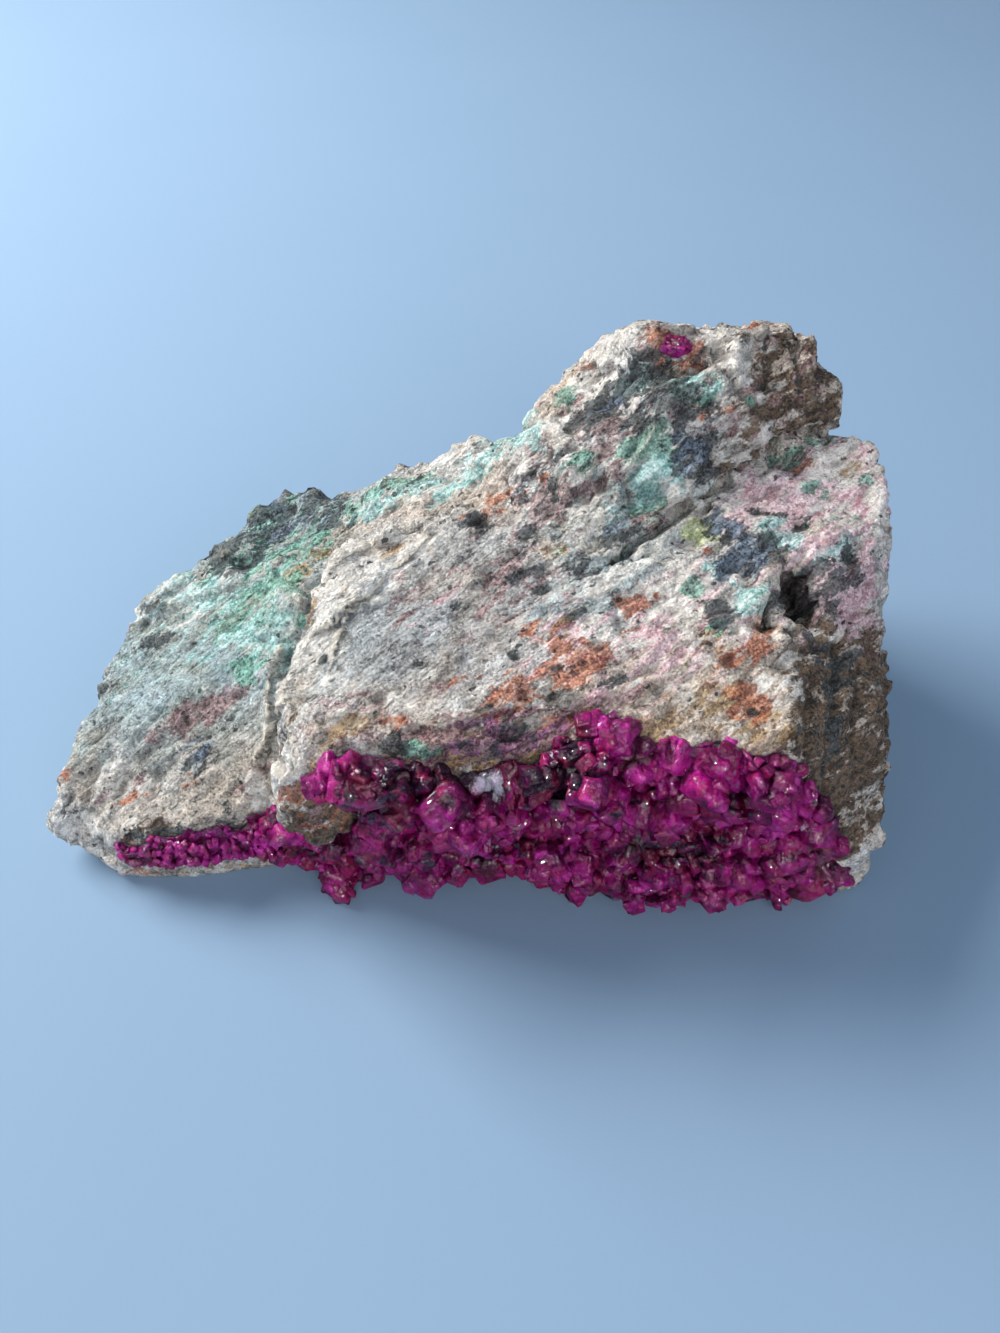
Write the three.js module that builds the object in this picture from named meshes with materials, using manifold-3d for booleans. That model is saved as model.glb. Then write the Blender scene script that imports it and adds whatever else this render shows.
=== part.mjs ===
// A hand specimen of cobaltocalcite: a block of laminated host rock whose front
// wall carries one druse of pink rhombohedral crystals, with a second, tiny tuft
// of the same crystals on the ridge. Millimetres, +Z up, standing on its sawn-flat
// underside. +X runs along the specimen, +Y from the druse towards the back.

import * as THREE from "three";
import { ConvexHull } from "three/addons/math/ConvexHull.js";
import { mergeVertices } from "three/addons/utils/BufferGeometryUtils.js";
import Module from "manifold-3d";

// ---------------------------------------------------------------- dimensions

const ROCK_CELL = 3.4; // size of one facet of the rock
const EDGE_ROUNDING = 0.9; // how softly two masses of rock run into each other

const BEDDING_STRIKE = THREE.MathUtils.degToRad(35); // the laminae stand upright on this line
const LAMINA = { thickness: 5.4, run: 30, relief: 0.75 };
const LUMP = { size: 16, relief: 0.7 };
const CHIP = { size: 7.5, relief: 0.7 };

const DRUSE_CELL = 4; // size of one facet of the bed that the crystals grow from
const DRUSE_BED = 1.4; // thickness of that bed of massive calcite
const DRUSE_SWELL = { size: 11, relief: 0.9 }; // the bed swells and thins over the wall
const GROWTH_GAP = 0.4; // clearance that keeps the crystals and the rock apart
const DRUSE_BACK = -17; // the druse ends in front of this depth
const DRUSE_FOOT = 0.3; // and this high above the ground
const CRYSTAL = {
  smallest: 4, // across the corners
  largest: 7.4,
  flattest: 0.8, // height over width of a rhombohedron, on its long diagonal
  steepest: 1.35,
  cubeEdge: 0.62, // edge of the cube that a crystal is made from, as a share of its size
  spacing: 4.8,
  jitter: 0.55, // of the spacing
  lean: 0.8, // how far crystals lean out of the wall's normal
  rise: 0.15, // of its size, how far a crystal's centre stands out of the bed
  inset: 0.18, // of its size, how far a crystal keeps inside the druse's outline
};
const TUFT = { centre: [27.8, 20.4, 55], spread: 1.3, count: 5, size: 2, bed: 1.7, lean: 0.5 };

// The masses that the rock is made of. Each is the convex hull of its corners.
const MASSES = {
  left_shelf: [
    [-55.5, -17.5, 12.6], [-53, -7.5, 15.6], [-48, 4, 20], [-40.5, 10.5, 24], [-33.5, 17.5, 26],
    [-21, 21, 28.5], [-16, 4, 29.5], [-20, -22.5, 16.5], [-34, -25, 12.8], [-45, -26, 9.6],
    [-53, -23.5, 9], [-58, -20, 7], [-57.6, -22.4, 4], [-52.5, -26, 1.6], [-44, -26.4, -1],
    [-20, -24, -1], [-46, -4, 0], [-38, 10, -1], [-26, 22, -1], [-10, 22, -1],
  ],
  shelf_knob: [
    [-32.5, 18.5, 26.5], [-27, 22, 30.5], [-19, 21.2, 30.8], [-17, 17, 29], [-30, 16, 26],
    [-31, 23, 14], [-18, 24, 14],
  ],
  back_trough: [
    [-18, 4, 29.6], [-26, 20, 28], [-19, 21, 29.6], [-9, 16.5, 33.8], [-4.5, 18.5, 35.6],
    [1, 20, 38.6], [6, 21, 41.2], [10, 18, 43], [10, 10, 41], [0, 6, 37], [-24, 22, 0],
    [10, 24, 0], [10, 0, 0],
  ],
  centre_slab: [
    [-17, -1, 36], [-21, -12, 33], [-22, -21, 31], [-24, -27.4, 23], [-19, -28, 27.5],
    [-15.5, -26.5, 32.3], [-7, -25.3, 33.2], [3, -23.2, 34.8], [12, -22.4, 36.2],
    [22, -24.5, 36], [29, -26.8, 35], [38, -27.6, 34.6], [41, -21, 36.6], [42, -14, 37.4],
    [38, -9, 40.2], [18, -3, 41.2], [2, 7, 41.6], [-7.5, 3.5, 39.4], [-21, -22, 0],
    [-23, -23.6, 16], [0, -22.4, 0], [40, -24.5, 0], [40, 5, 0], [-15, 5, 0],
  ],
  slab_brow: [
    [-5, -25.3, 32], [3, -23.4, 34.5], [12, -22.8, 36], [16, -24.5, 33], [8, -26, 30.4],
    [0, -26.4, 28.6], [-5, -26.2, 28.6], [0, -18, 28], [14, -18, 28], [2, -22, 14],
  ],
  brown_knob: [
    [-23, -28.6, 17], [-19, -29.4, 14.5], [-14, -28.8, 15.5], [-13, -28.4, 20], [-18, -28.8, 23.6],
    [-22, -28, 22], [-22, -22, 14], [-13, -22, 24],
  ],
  druse_wall_bulge: [
    [10, -22, 20], [22, -24.8, 24], [34, -25.8, 26], [47, -23.5, 14], [49, -23.5, 5],
    [39, -27, 7], [29, -29, 4], [16, -25.6, 4], [20, -25, -1], [44, -24, -1], [30, -12, 10],
  ],
  ridge: [
    [11, 20.4, 46.6], [12, 21.8, 50.4], [18.4, 21.4, 55], [23, 22.6, 58.4], [27, 21.4, 57],
    [31.5, 21.8, 56], [39.8, 23.2, 57.8], [46, 22.6, 56], [47.6, 21, 54.8], [48, 19, 51.4],
    [51.6, 17.6, 46], [43, 14.4, 45.2], [31, 4.4, 43], [18, -3, 40.6], [10, 3, 41.2],
    [5, 10, 42.2], [8, 17, 44], [10, 29, 42], [22, 32, 50], [44, 32, 49], [51, 29, 40],
    [49, 30, -1], [14, 31, -1], [12, 0, 10], [48, 10, 10],
  ],
  ridge_step: [
    [47, 19.6, 51.2], [51, 19.8, 50.8], [51.6, 19.4, 47.2], [51.4, 27, 45], [47, 18.6, 47],
    [47, 28, 50],
  ],
  right_hook: [
    [20, -4, 40.2], [31, 3.4, 41.6], [41, 13, 43.6], [50.5, 16.8, 44.8], [55.8, 15.6, 45.2],
    [56.8, 10.6, 44.8], [56.2, 5.4, 43], [55.4, 1.6, 38], [55.6, -1.6, 33], [54, -5.4, 29.4],
    [48, -8.2, 30.6], [46, -5.4, 38.4], [43, -4.8, 39.6], [40.6, -6.8, 39.4],
    [38.4, -10.4, 38.4], [52, -2.2, 39.2], [30, -8, 33], [53, 20, 30], [40, 20, 30],
  ],
  right_flank: [
    [42.4, -14.8, 36.4], [38.6, -27.6, 34.2], [46, -11.5, 33], [53.4, -8, 30], [54.6, -17.6, 28],
    [57, -21.4, 22], [57.6, -23.8, 12], [56.4, -26.4, 4.6], [54.4, -27.6, -1], [50.4, -26.6, 9],
    [44, -27, 24], [40, -25, -1], [57, -8, 10], [55, 10, 6], [52, 22, -1], [54, 14, 36],
    [30, 20, 20], [52, -4, -1],
  ],
  core: [
    [-36, -18, -2], [-34, 14, -2], [-14, 24, -2], [30, 30, -2], [49, 24, -2], [50, -20, -2],
    [30, -24, -2], [-15, -21, -2], [48, 20, 30], [10, 25, 34], [-14, 19, 24], [40, -18, 30],
  ],
};

// Hollows broken out of the rock: centre, half sizes, and the turn about +Z.
const HOLLOWS = [
  { at: [42.6, -6.6, 36], half: [4.4, 5.2, 5.2], turn: 0.35 }, // the pocket under the hook
  { at: [36, 8, 44.2], half: [22, 1.7, 3.4], turn: BEDDING_STRIKE }, // the open joint below the ridge
];

// Outline of the druse on the front wall, as seen from the front: x and z.
const DRUSE_OUTLINE = [
  [-46.5, 3.4], [-46.5, 9.4], [-34.5, 12], [-24, 14.6], [-22, 14], [-12.5, 13.6], [-11.6, 22],
  [-17.4, 25.4], [-16, 31.4], [-6.5, 31], [1.5, 28.4], [7.6, 30.4], [14, 34.4], [19, 36.4],
  [22, 34.2], [31, 34.6], [38.6, 32.6], [42, 26], [45.2, 19], [48.8, 12], [52, 4], [48, 0.8],
  [-18, 0.8], [-28, 4.4],
];

// ---------------------------------------------------------------- repeatable noise

const random = (() => {
  let state = 20641;
  return () => {
    state = (state * 1664525 + 1013904223) % 4294967296;
    return state / 4294967296;
  };
})();

// A number from 0 to 1 that belongs to one corner of the noise lattice.
function latticeValue(i, j, k) {
  let h = Math.imul(i, 374761393) + Math.imul(j, 668265263) + Math.imul(k, 2147483647);
  h = Math.imul(h ^ (h >>> 13), 1274126177);
  return ((h ^ (h >>> 16)) >>> 0) / 4294967296;
}

// Smooth noise from -1 to 1 with features about one unit across.
function smoothNoise(x, y, z) {
  const cell = [Math.floor(x), Math.floor(y), Math.floor(z)];
  const ease = [x, y, z].map((v, axis) => THREE.MathUtils.smootherstep(v - cell[axis], 0, 1));
  let sum = 0;
  for (let corner = 0; corner < 8; corner++) {
    const step = [corner & 1, (corner >> 1) & 1, corner >> 2];
    const weight = step.reduce((w, s, axis) => w * (s ? ease[axis] : 1 - ease[axis]), 1);
    sum += weight * latticeValue(cell[0] + step[0], cell[1] + step[1], cell[2] + step[2]);
  }
  return 2 * sum - 1;
}

// ---------------------------------------------------------------- the rock as a field

// The outward planes of a convex hull, without the repeats that flat faces give.
function planesOf(corners) {
  const hull = new ConvexHull().setFromPoints(corners.map((c) => new THREE.Vector3(...c)));
  const planes = [];
  for (const face of hull.faces) {
    const repeat = planes.some(
      (p) => p.normal.dot(face.normal) > 0.9999 && Math.abs(p.constant - face.constant) < 0.01,
    );
    if (!repeat) planes.push({ normal: face.normal.clone(), constant: face.constant });
  }
  return planes;
}

const HULLS = Object.values(MASSES).map(planesOf);

function distanceToHull(planes, p) {
  let deepest = -Infinity;
  for (const plane of planes) deepest = Math.max(deepest, plane.normal.dot(p) - plane.constant);
  return deepest;
}

function softMin(a, b, radius) {
  const blend = Math.max(radius - Math.abs(a - b), 0) / radius;
  return Math.min(a, b) - (blend * blend * radius) / 4;
}

function distanceToHollow(hollow, p) {
  const local = p.clone().sub(new THREE.Vector3(...hollow.at));
  local.applyAxisAngle(new THREE.Vector3(0, 0, 1), -hollow.turn);
  const scaled = local.divide(new THREE.Vector3(...hollow.half));
  return (scaled.length() - 1) * Math.min(...hollow.half);
}

const ALONG = new THREE.Vector3(Math.cos(BEDDING_STRIKE), Math.sin(BEDDING_STRIKE), 0);
const ACROSS = new THREE.Vector3(-ALONG.y, ALONG.x, 0);

// How far the weathered surface stands proud of the smooth masses.
function relief(p) {
  const along = p.dot(ALONG);
  const across = p.dot(ACROSS);
  const lump = smoothNoise(p.x / LUMP.size, p.y / LUMP.size, p.z / LUMP.size);
  const lamina = smoothNoise(
    along / LAMINA.run + 7,
    across / LAMINA.thickness + 0.35 * lump,
    p.z / LAMINA.run,
  );
  const chip = smoothNoise(p.x / CHIP.size + 31, p.y / CHIP.size, p.z / CHIP.size);
  return LUMP.relief * lump + LAMINA.relief * lamina + CHIP.relief * (Math.abs(chip) - 0.4);
}

// Negative inside the rock and positive outside it, in millimetres near its surface.
function rockField(p) {
  let distance = Infinity;
  for (const planes of HULLS) {
    distance = softMin(distance, distanceToHull(planes, p), EDGE_ROUNDING);
  }
  for (const hollow of HOLLOWS) distance = Math.max(distance, -distanceToHollow(hollow, p));
  return distance - relief(p);
}

// ---------------------------------------------------------------- fields to meshes

// The box of space that the fields are sampled in: it holds the whole specimen.
const GRID_LOW = new THREE.Vector3(-66.3, -38.2, -9.1);
const GRID_HIGH = new THREE.Vector3(64, 40, 66);

const CORNERS = [...Array(8).keys()].map((c) => [c & 1, (c >> 1) & 1, c >> 2]);
const EDGES = CORNERS.flatMap((a, i) =>
  [0, 1, 2].filter((axis) => !a[axis]).map((axis) => [i, i | (1 << axis)]),
);
const SIDES = [0, 1, 2].flatMap((axis) =>
  [0, 1].map((side) =>
    EDGES.flatMap((edge, e) => (edge.every((c) => CORNERS[c][axis] === side) ? [e] : [])),
  ),
);

function gradient(field, p) {
  const reach = 0.12;
  const slope = ["x", "y", "z"].map((axis) => {
    const ahead = p.clone();
    const behind = p.clone();
    ahead[axis] += reach;
    behind[axis] -= reach;
    return field(ahead) - field(behind);
  });
  return new THREE.Vector3(...slope).normalize();
}

// The sheets of surface that pass through a cell, each as the list of edges it crosses.
// On a side with four crossings each inside corner is cut off by itself.
function sheetsOf(values) {
  const crossed = EDGES.map(([a, b]) => values[a] < 0 !== values[b] < 0);
  const sheet = EDGES.map((edge, e) => e);
  const join = (e, f) => {
    const old = sheet[f];
    sheet.forEach((s, i) => {
      if (s === old) sheet[i] = sheet[e];
    });
  };
  for (const side of SIDES) {
    const cut = side.filter((e) => crossed[e]);
    if (cut.length === 2) join(cut[0], cut[1]);
    if (cut.length < 4) continue;
    for (const e of cut) {
      const inner = EDGES[e].find((c) => values[c] < 0);
      join(e, cut.find((f) => f !== e && EDGES[f].includes(inner)));
    }
  }
  const names = [...new Set(sheet.filter((s, e) => crossed[e]))];
  return names.map((name) => sheet.flatMap((s, e) => (s === name && crossed[e] ? [e] : [])));
}

// One vertex for a sheet: the point nearest to the surface's tangent planes where it
// crosses the cell's edges, which keeps the sharp breaks.
function sheetVertex(field, low, size, values, sheet) {
  const crossings = sheet.map((e) => {
    const [a, b] = EDGES[e];
    const from = new THREE.Vector3(...CORNERS[a]).multiplyScalar(size).add(low);
    const to = new THREE.Vector3(...CORNERS[b]).multiplyScalar(size).add(low);
    const point = from.lerp(to, values[a] / (values[a] - values[b]));
    return { point, normal: gradient(field, point) };
  });
  const vertex = new THREE.Vector3();
  for (const c of crossings) vertex.add(c.point);
  vertex.divideScalar(crossings.length);
  const passes = 12;
  for (let pass = 0; pass < passes; pass++) {
    const pull = new THREE.Vector3();
    for (const c of crossings) {
      const off = c.point.clone().sub(vertex).dot(c.normal);
      pull.addScaledVector(c.normal, off);
    }
    vertex.addScaledVector(pull, 1 / crossings.length);
  }
  const margin = 0.04 * size;
  const high = low.clone().addScalar(size - margin);
  return vertex.clamp(low.clone().addScalar(margin), high);
}

// The closed surface where the field is zero, by dual contouring on a regular grid.
function meshOfField(field, low, high, size) {
  const counts = ["x", "y", "z"].map((axis) => Math.ceil((high[axis] - low[axis]) / size) + 1);
  const index = (i, j, k) => (k * counts[1] + j) * counts[0] + i;
  const values = new Float64Array(counts[0] * counts[1] * counts[2]);
  const p = new THREE.Vector3();
  for (let k = 0; k < counts[2]; k++)
    for (let j = 0; j < counts[1]; j++)
      for (let i = 0; i < counts[0]; i++) {
        values[index(i, j, k)] = field(p.set(i, j, k).multiplyScalar(size).add(low));
      }

  const positions = [];
  const cells = new Map();
  function vertexOn(cell, edge) {
    const key = index(...cell);
    if (!cells.has(key)) {
      const vertices = EDGES.map(() => -1);
      const around = CORNERS.map((c) => values[index(cell[0] + c[0], cell[1] + c[1], cell[2] + c[2])]);
      const corner = new THREE.Vector3(...cell).multiplyScalar(size).add(low);
      for (const sheet of sheetsOf(around)) {
        for (const e of sheet) vertices[e] = positions.length / 3;
        positions.push(...sheetVertex(field, corner, size, around, sheet));
      }
      cells.set(key, vertices);
    }
    return cells.get(key)[edge];
  }

  const triangles = [];
  for (let k = 1; k < counts[2] - 1; k++)
    for (let j = 1; j < counts[1] - 1; j++)
      for (let i = 1; i < counts[0] - 1; i++)
        for (let axis = 0; axis < 3; axis++) {
          const here = [i, j, k];
          const next = here.map((v, a) => v + (a === axis ? 1 : 0));
          const inside = values[index(...here)] < 0;
          if (inside === values[index(...next)] < 0) continue;
          const u = (axis + 1) % 3;
          const v = (axis + 2) % 3;
          const ring = [[0, 0], [-1, 0], [-1, -1], [0, -1]].map(([du, dv]) => {
            const cell = [...here];
            cell[u] += du;
            cell[v] += dv;
            const first = (-du << u) | (-dv << v);
            return vertexOn(cell, EDGES.findIndex(([a, b]) => a === first && b === (first | (1 << axis))));
          });
          if (!inside) ring.reverse();
          triangles.push(ring[0], ring[1], ring[2], ring[0], ring[2], ring[3]);
        }
  const geometry = new THREE.BufferGeometry();
  geometry.setAttribute("position", new THREE.Float32BufferAttribute(positions, 3));
  geometry.setIndex(triangles);
  return geometry;
}

// ---------------------------------------------------------------- joining and cutting

const wasm = await Module();
wasm.setup();

function toSolid(geometry) {
  const bare = geometry.clone();
  bare.deleteAttribute("normal");
  bare.deleteAttribute("uv");
  const merged = mergeVertices(bare, 1e-4);
  const mesh = new wasm.Mesh({
    numProp: 3,
    vertProperties: new Float32Array(merged.attributes.position.array),
    triVerts: new Uint32Array(merged.index.array),
  });
  return new wasm.Manifold(mesh);
}

function toGeometry(solid) {
  const mesh = solid.getMesh();
  const geometry = new THREE.BufferGeometry();
  geometry.setAttribute("position", new THREE.BufferAttribute(mesh.vertProperties, 3));
  geometry.setIndex(new THREE.BufferAttribute(mesh.triVerts, 1));
  geometry.computeVertexNormals();
  return geometry;
}

// A box that removes everything below the height z.
function boxBelow(z) {
  const size = 400;
  return toSolid(new THREE.BoxGeometry(size, size, size).translate(0, 0, z - size / 2));
}

function joinAll(solids) {
  if (solids.length === 1) return solids[0];
  const half = solids.length >> 1;
  return joinAll(solids.slice(0, half)).add(joinAll(solids.slice(half)));
}

// Of the bodies that a cut leaves, the one that holds most of the stone.
function largestBody(solid) {
  return solid.decompose().reduce((a, b) => (b.volume() > a.volume() ? b : a));
}

// ---------------------------------------------------------------- host rock

function makeHostRock() {
  const skin = meshOfField(rockField, GRID_LOW, GRID_HIGH, ROCK_CELL);
  return { skin, solid: largestBody(toSolid(skin).subtract(boxBelow(0))) };
}

// Cuts whatever grows on the rock back to a clear distance from the rock's own skin.
function clearOfRock(growth, rock) {
  const grown = rock.skin.clone();
  grown.computeVertexNormals();
  const position = grown.getAttribute("position");
  const normal = grown.getAttribute("normal");
  for (let i = 0; i < position.count; i++) {
    position.setXYZ(
      i,
      position.getX(i) + GROWTH_GAP * normal.getX(i),
      position.getY(i) + GROWTH_GAP * normal.getY(i),
      position.getZ(i) + GROWTH_GAP * normal.getZ(i),
    );
  }
  return growth.subtract(toSolid(grown)).subtract(rock.solid);
}

// ---------------------------------------------------------------- crystals

// A rhombohedron is a cube stood on one corner and stretched along its long diagonal.
function rhombohedron(size, stretch) {
  const cube = new THREE.BoxGeometry(size, size, size);
  const diagonal = new THREE.Vector3(1, 1, 1).normalize();
  const upright = new THREE.Quaternion().setFromUnitVectors(diagonal, new THREE.Vector3(0, 0, 1));
  return cube.applyQuaternion(upright).scale(1, 1, stretch);
}

// A crystal whose long diagonal points along the given direction.
function crystalAt(point, direction, size, stretch) {
  const turn = new THREE.Quaternion().setFromUnitVectors(new THREE.Vector3(0, 0, 1), direction);
  const spin = new THREE.Quaternion().setFromAxisAngle(direction, random() * 2 * Math.PI);
  const crystal = rhombohedron(size, stretch).applyQuaternion(turn).applyQuaternion(spin);
  return toSolid(crystal.translate(point.x, point.y, point.z));
}

// Distance from a point of the front wall to the druse's outline, negative inside it.
function outlineDistance(x, z) {
  let nearest = Infinity;
  let inside = false;
  DRUSE_OUTLINE.forEach(([x0, z0], i) => {
    const [x1, z1] = DRUSE_OUTLINE[(i + 1) % DRUSE_OUTLINE.length];
    const share = ((x - x0) * (x1 - x0) + (z - z0) * (z1 - z0)) / ((x1 - x0) ** 2 + (z1 - z0) ** 2);
    const t = THREE.MathUtils.clamp(share, 0, 1);
    nearest = Math.min(nearest, Math.hypot(x - x0 - t * (x1 - x0), z - z0 - t * (z1 - z0)));
    if (z0 > z !== z1 > z && x < x0 + ((z - z0) / (z1 - z0)) * (x1 - x0)) inside = !inside;
  });
  return inside ? -nearest : nearest;
}

// The point of the rock's front wall behind a given x and z, found by marching inwards.
function frontWall(x, z) {
  const touching = 0.02;
  const stride = 0.6; // of the distance still left
  const p = new THREE.Vector3(x, GRID_LOW.y, z);
  while (p.y < DRUSE_BACK) {
    const distance = rockField(p);
    if (distance < touching) return p;
    p.y += Math.max(stride * distance, touching);
  }
  return null;
}

function bedThickness(p) {
  const swell = smoothNoise(p.x / DRUSE_SWELL.size, p.y / DRUSE_SWELL.size + 5, p.z / DRUSE_SWELL.size);
  return DRUSE_BED + DRUSE_SWELL.relief * swell;
}

// Crystals on a jittered grid over the outline, leaning away from the wall's own normal.
function druseCrystals() {
  const solids = [];
  const left = Math.min(...DRUSE_OUTLINE.map(([x]) => x));
  const right = Math.max(...DRUSE_OUTLINE.map(([x]) => x));
  const top = Math.max(...DRUSE_OUTLINE.map(([, z]) => z));
  const rows = Math.ceil(top / CRYSTAL.spacing);
  const columns = Math.ceil((right - left) / CRYSTAL.spacing);
  for (let row = 0; row < rows; row++)
    for (let column = 0; column < columns; column++) {
      const shift = 0.5 * (row % 2);
      const x = left + (column + shift + CRYSTAL.jitter * (random() - 0.5)) * CRYSTAL.spacing;
      const z = (row + 0.3 + CRYSTAL.jitter * (random() - 0.5)) * CRYSTAL.spacing;
      const size = THREE.MathUtils.lerp(CRYSTAL.smallest, CRYSTAL.largest, random() ** 2);
      const lean = [random() - 0.5, random() - 0.5, random() - 0.5];
      const stretch = THREE.MathUtils.lerp(CRYSTAL.flattest, CRYSTAL.steepest, random());
      if (outlineDistance(x, z) > -CRYSTAL.inset * size) continue;
      const wall = frontWall(x, z);
      if (!wall) continue;
      const outwards = gradient(rockField, wall);
      const direction = outwards.clone().addScaledVector(new THREE.Vector3(...lean), CRYSTAL.lean);
      const centre = wall.clone().addScaledVector(outwards, bedThickness(wall) + CRYSTAL.rise * size);
      solids.push(crystalAt(centre, direction.normalize(), CRYSTAL.cubeEdge * size, stretch));
    }
  return solids;
}

function makeDruse(rock) {
  const inDruse = (p) => Math.max(outlineDistance(p.x, p.z), p.y - DRUSE_BACK);
  const bedField = (p) => Math.max(rockField(p) - bedThickness(p), inDruse(p));
  const bed = toSolid(meshOfField(bedField, GRID_LOW, GRID_HIGH, DRUSE_CELL));
  const whole = joinAll([bed, ...druseCrystals()]);
  return largestBody(clearOfRock(whole, rock).subtract(boxBelow(DRUSE_FOOT)));
}

// The small second growth of crystals high on the ridge.
function makeRidgeTuft(rock) {
  const centre = new THREE.Vector3(...TUFT.centre);
  const outwards = gradient(rockField, centre);
  centre.addScaledVector(outwards, -rockField(centre));
  const bed = toSolid(new THREE.IcosahedronGeometry(TUFT.bed).translate(...centre));
  const crystals = [...Array(TUFT.count).keys()].map((i) => {
    const angle = (2 * Math.PI * i) / TUFT.count;
    const reach = TUFT.spread * THREE.MathUtils.lerp(0.6, 1, random());
    const side = new THREE.Vector3(Math.cos(angle), Math.sin(angle), 0).cross(outwards);
    const direction = outwards.clone().addScaledVector(side, TUFT.lean).normalize();
    const point = centre.clone().addScaledVector(side, reach);
    return crystalAt(point, direction, TUFT.size * THREE.MathUtils.lerp(0.6, 0.9, random()), 1.1);
  });
  return largestBody(clearOfRock(joinAll([bed, ...crystals]), rock));
}

// ---------------------------------------------------------------- the specimen

const materials = {
  rock: new THREE.MeshStandardMaterial({ color: 0xb3ada1, roughness: 0.93, flatShading: true }),
  druse: new THREE.MeshStandardMaterial({ color: 0x9c1272, roughness: 0.25, flatShading: true }),
};

function named(name, solid, material) {
  const mesh = new THREE.Mesh(toGeometry(solid), material);
  mesh.name = name;
  return mesh;
}

const rock = makeHostRock();
const specimen = new THREE.Group();
specimen.add(
  named("host_rock", rock.solid, materials.rock),
  named("crystal_druse", makeDruse(rock), materials.druse),
  named("ridge_crystal_tuft", makeRidgeTuft(rock), materials.druse),
);

// The origin lies under the middle of the specimen, on the ground.
const middle = new THREE.Box3().setFromObject(specimen).getCenter(new THREE.Vector3());
specimen.position.set(-middle.x, -middle.y, 0);

export default specimen;
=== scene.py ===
"""A cobaltocalcite hand specimen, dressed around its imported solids.

The host rock is a laminated, sugary carbonate with green, rust, mauve and blue-black
stains. A druse of magenta rhombohedral crystals covers its front wall, and a small tuft
of the same crystals sits on the ridge. Surfaces are worked in millimetres and written to
the meshes in metres.
"""

import logging
import math
from collections.abc import Iterator, Sequence
from contextlib import contextmanager
from dataclasses import dataclass, field, replace
from enum import Enum
from typing import ClassVar

import bmesh
import bpy
import numpy as np
from mathutils import Matrix, Quaternion, Vector
from mathutils.bvhtree import BVHTree


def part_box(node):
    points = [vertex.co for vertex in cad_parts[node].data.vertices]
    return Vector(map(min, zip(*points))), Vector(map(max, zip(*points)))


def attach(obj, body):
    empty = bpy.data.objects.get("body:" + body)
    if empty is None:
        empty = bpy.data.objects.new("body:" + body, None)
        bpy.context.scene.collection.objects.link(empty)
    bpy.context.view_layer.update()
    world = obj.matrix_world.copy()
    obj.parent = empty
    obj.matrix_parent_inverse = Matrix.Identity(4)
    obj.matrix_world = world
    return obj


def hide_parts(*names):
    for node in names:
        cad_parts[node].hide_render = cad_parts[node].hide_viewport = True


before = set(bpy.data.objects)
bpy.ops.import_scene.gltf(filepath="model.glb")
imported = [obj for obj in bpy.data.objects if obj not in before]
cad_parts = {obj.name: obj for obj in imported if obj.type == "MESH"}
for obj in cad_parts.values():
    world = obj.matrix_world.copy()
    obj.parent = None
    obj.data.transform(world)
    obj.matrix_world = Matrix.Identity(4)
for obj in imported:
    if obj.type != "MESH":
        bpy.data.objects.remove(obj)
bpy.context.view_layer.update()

MM = 0.001
BODY = "root"
STRIKE_DEG = 35.0
EVEN = (1.0, 1.0, 1.0)
LOG = logging.getLogger("specimen")

Array = np.ndarray
Object = bpy.types.Object
Socket = bpy.types.NodeSocket
Pixel = tuple[float, float]
Triple = tuple[float, float, float]
Colour = tuple[float, float, float, float]


# ---- numbers on arrays


def eased(low: float, high: float, x: Array) -> Array:
    """Values eased from 0 at low to 1 at high, with low above high for a falling ramp."""
    t = np.clip((x - low) / (high - low), 0.0, 1.0)
    return t * t * (3.0 - 2.0 * t)


def unit(vectors: Array) -> Array:
    """The same vectors at length 1."""
    length = np.linalg.norm(vectors, axis=-1, keepdims=True)
    return vectors / np.maximum(length, 1e-12)


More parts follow.
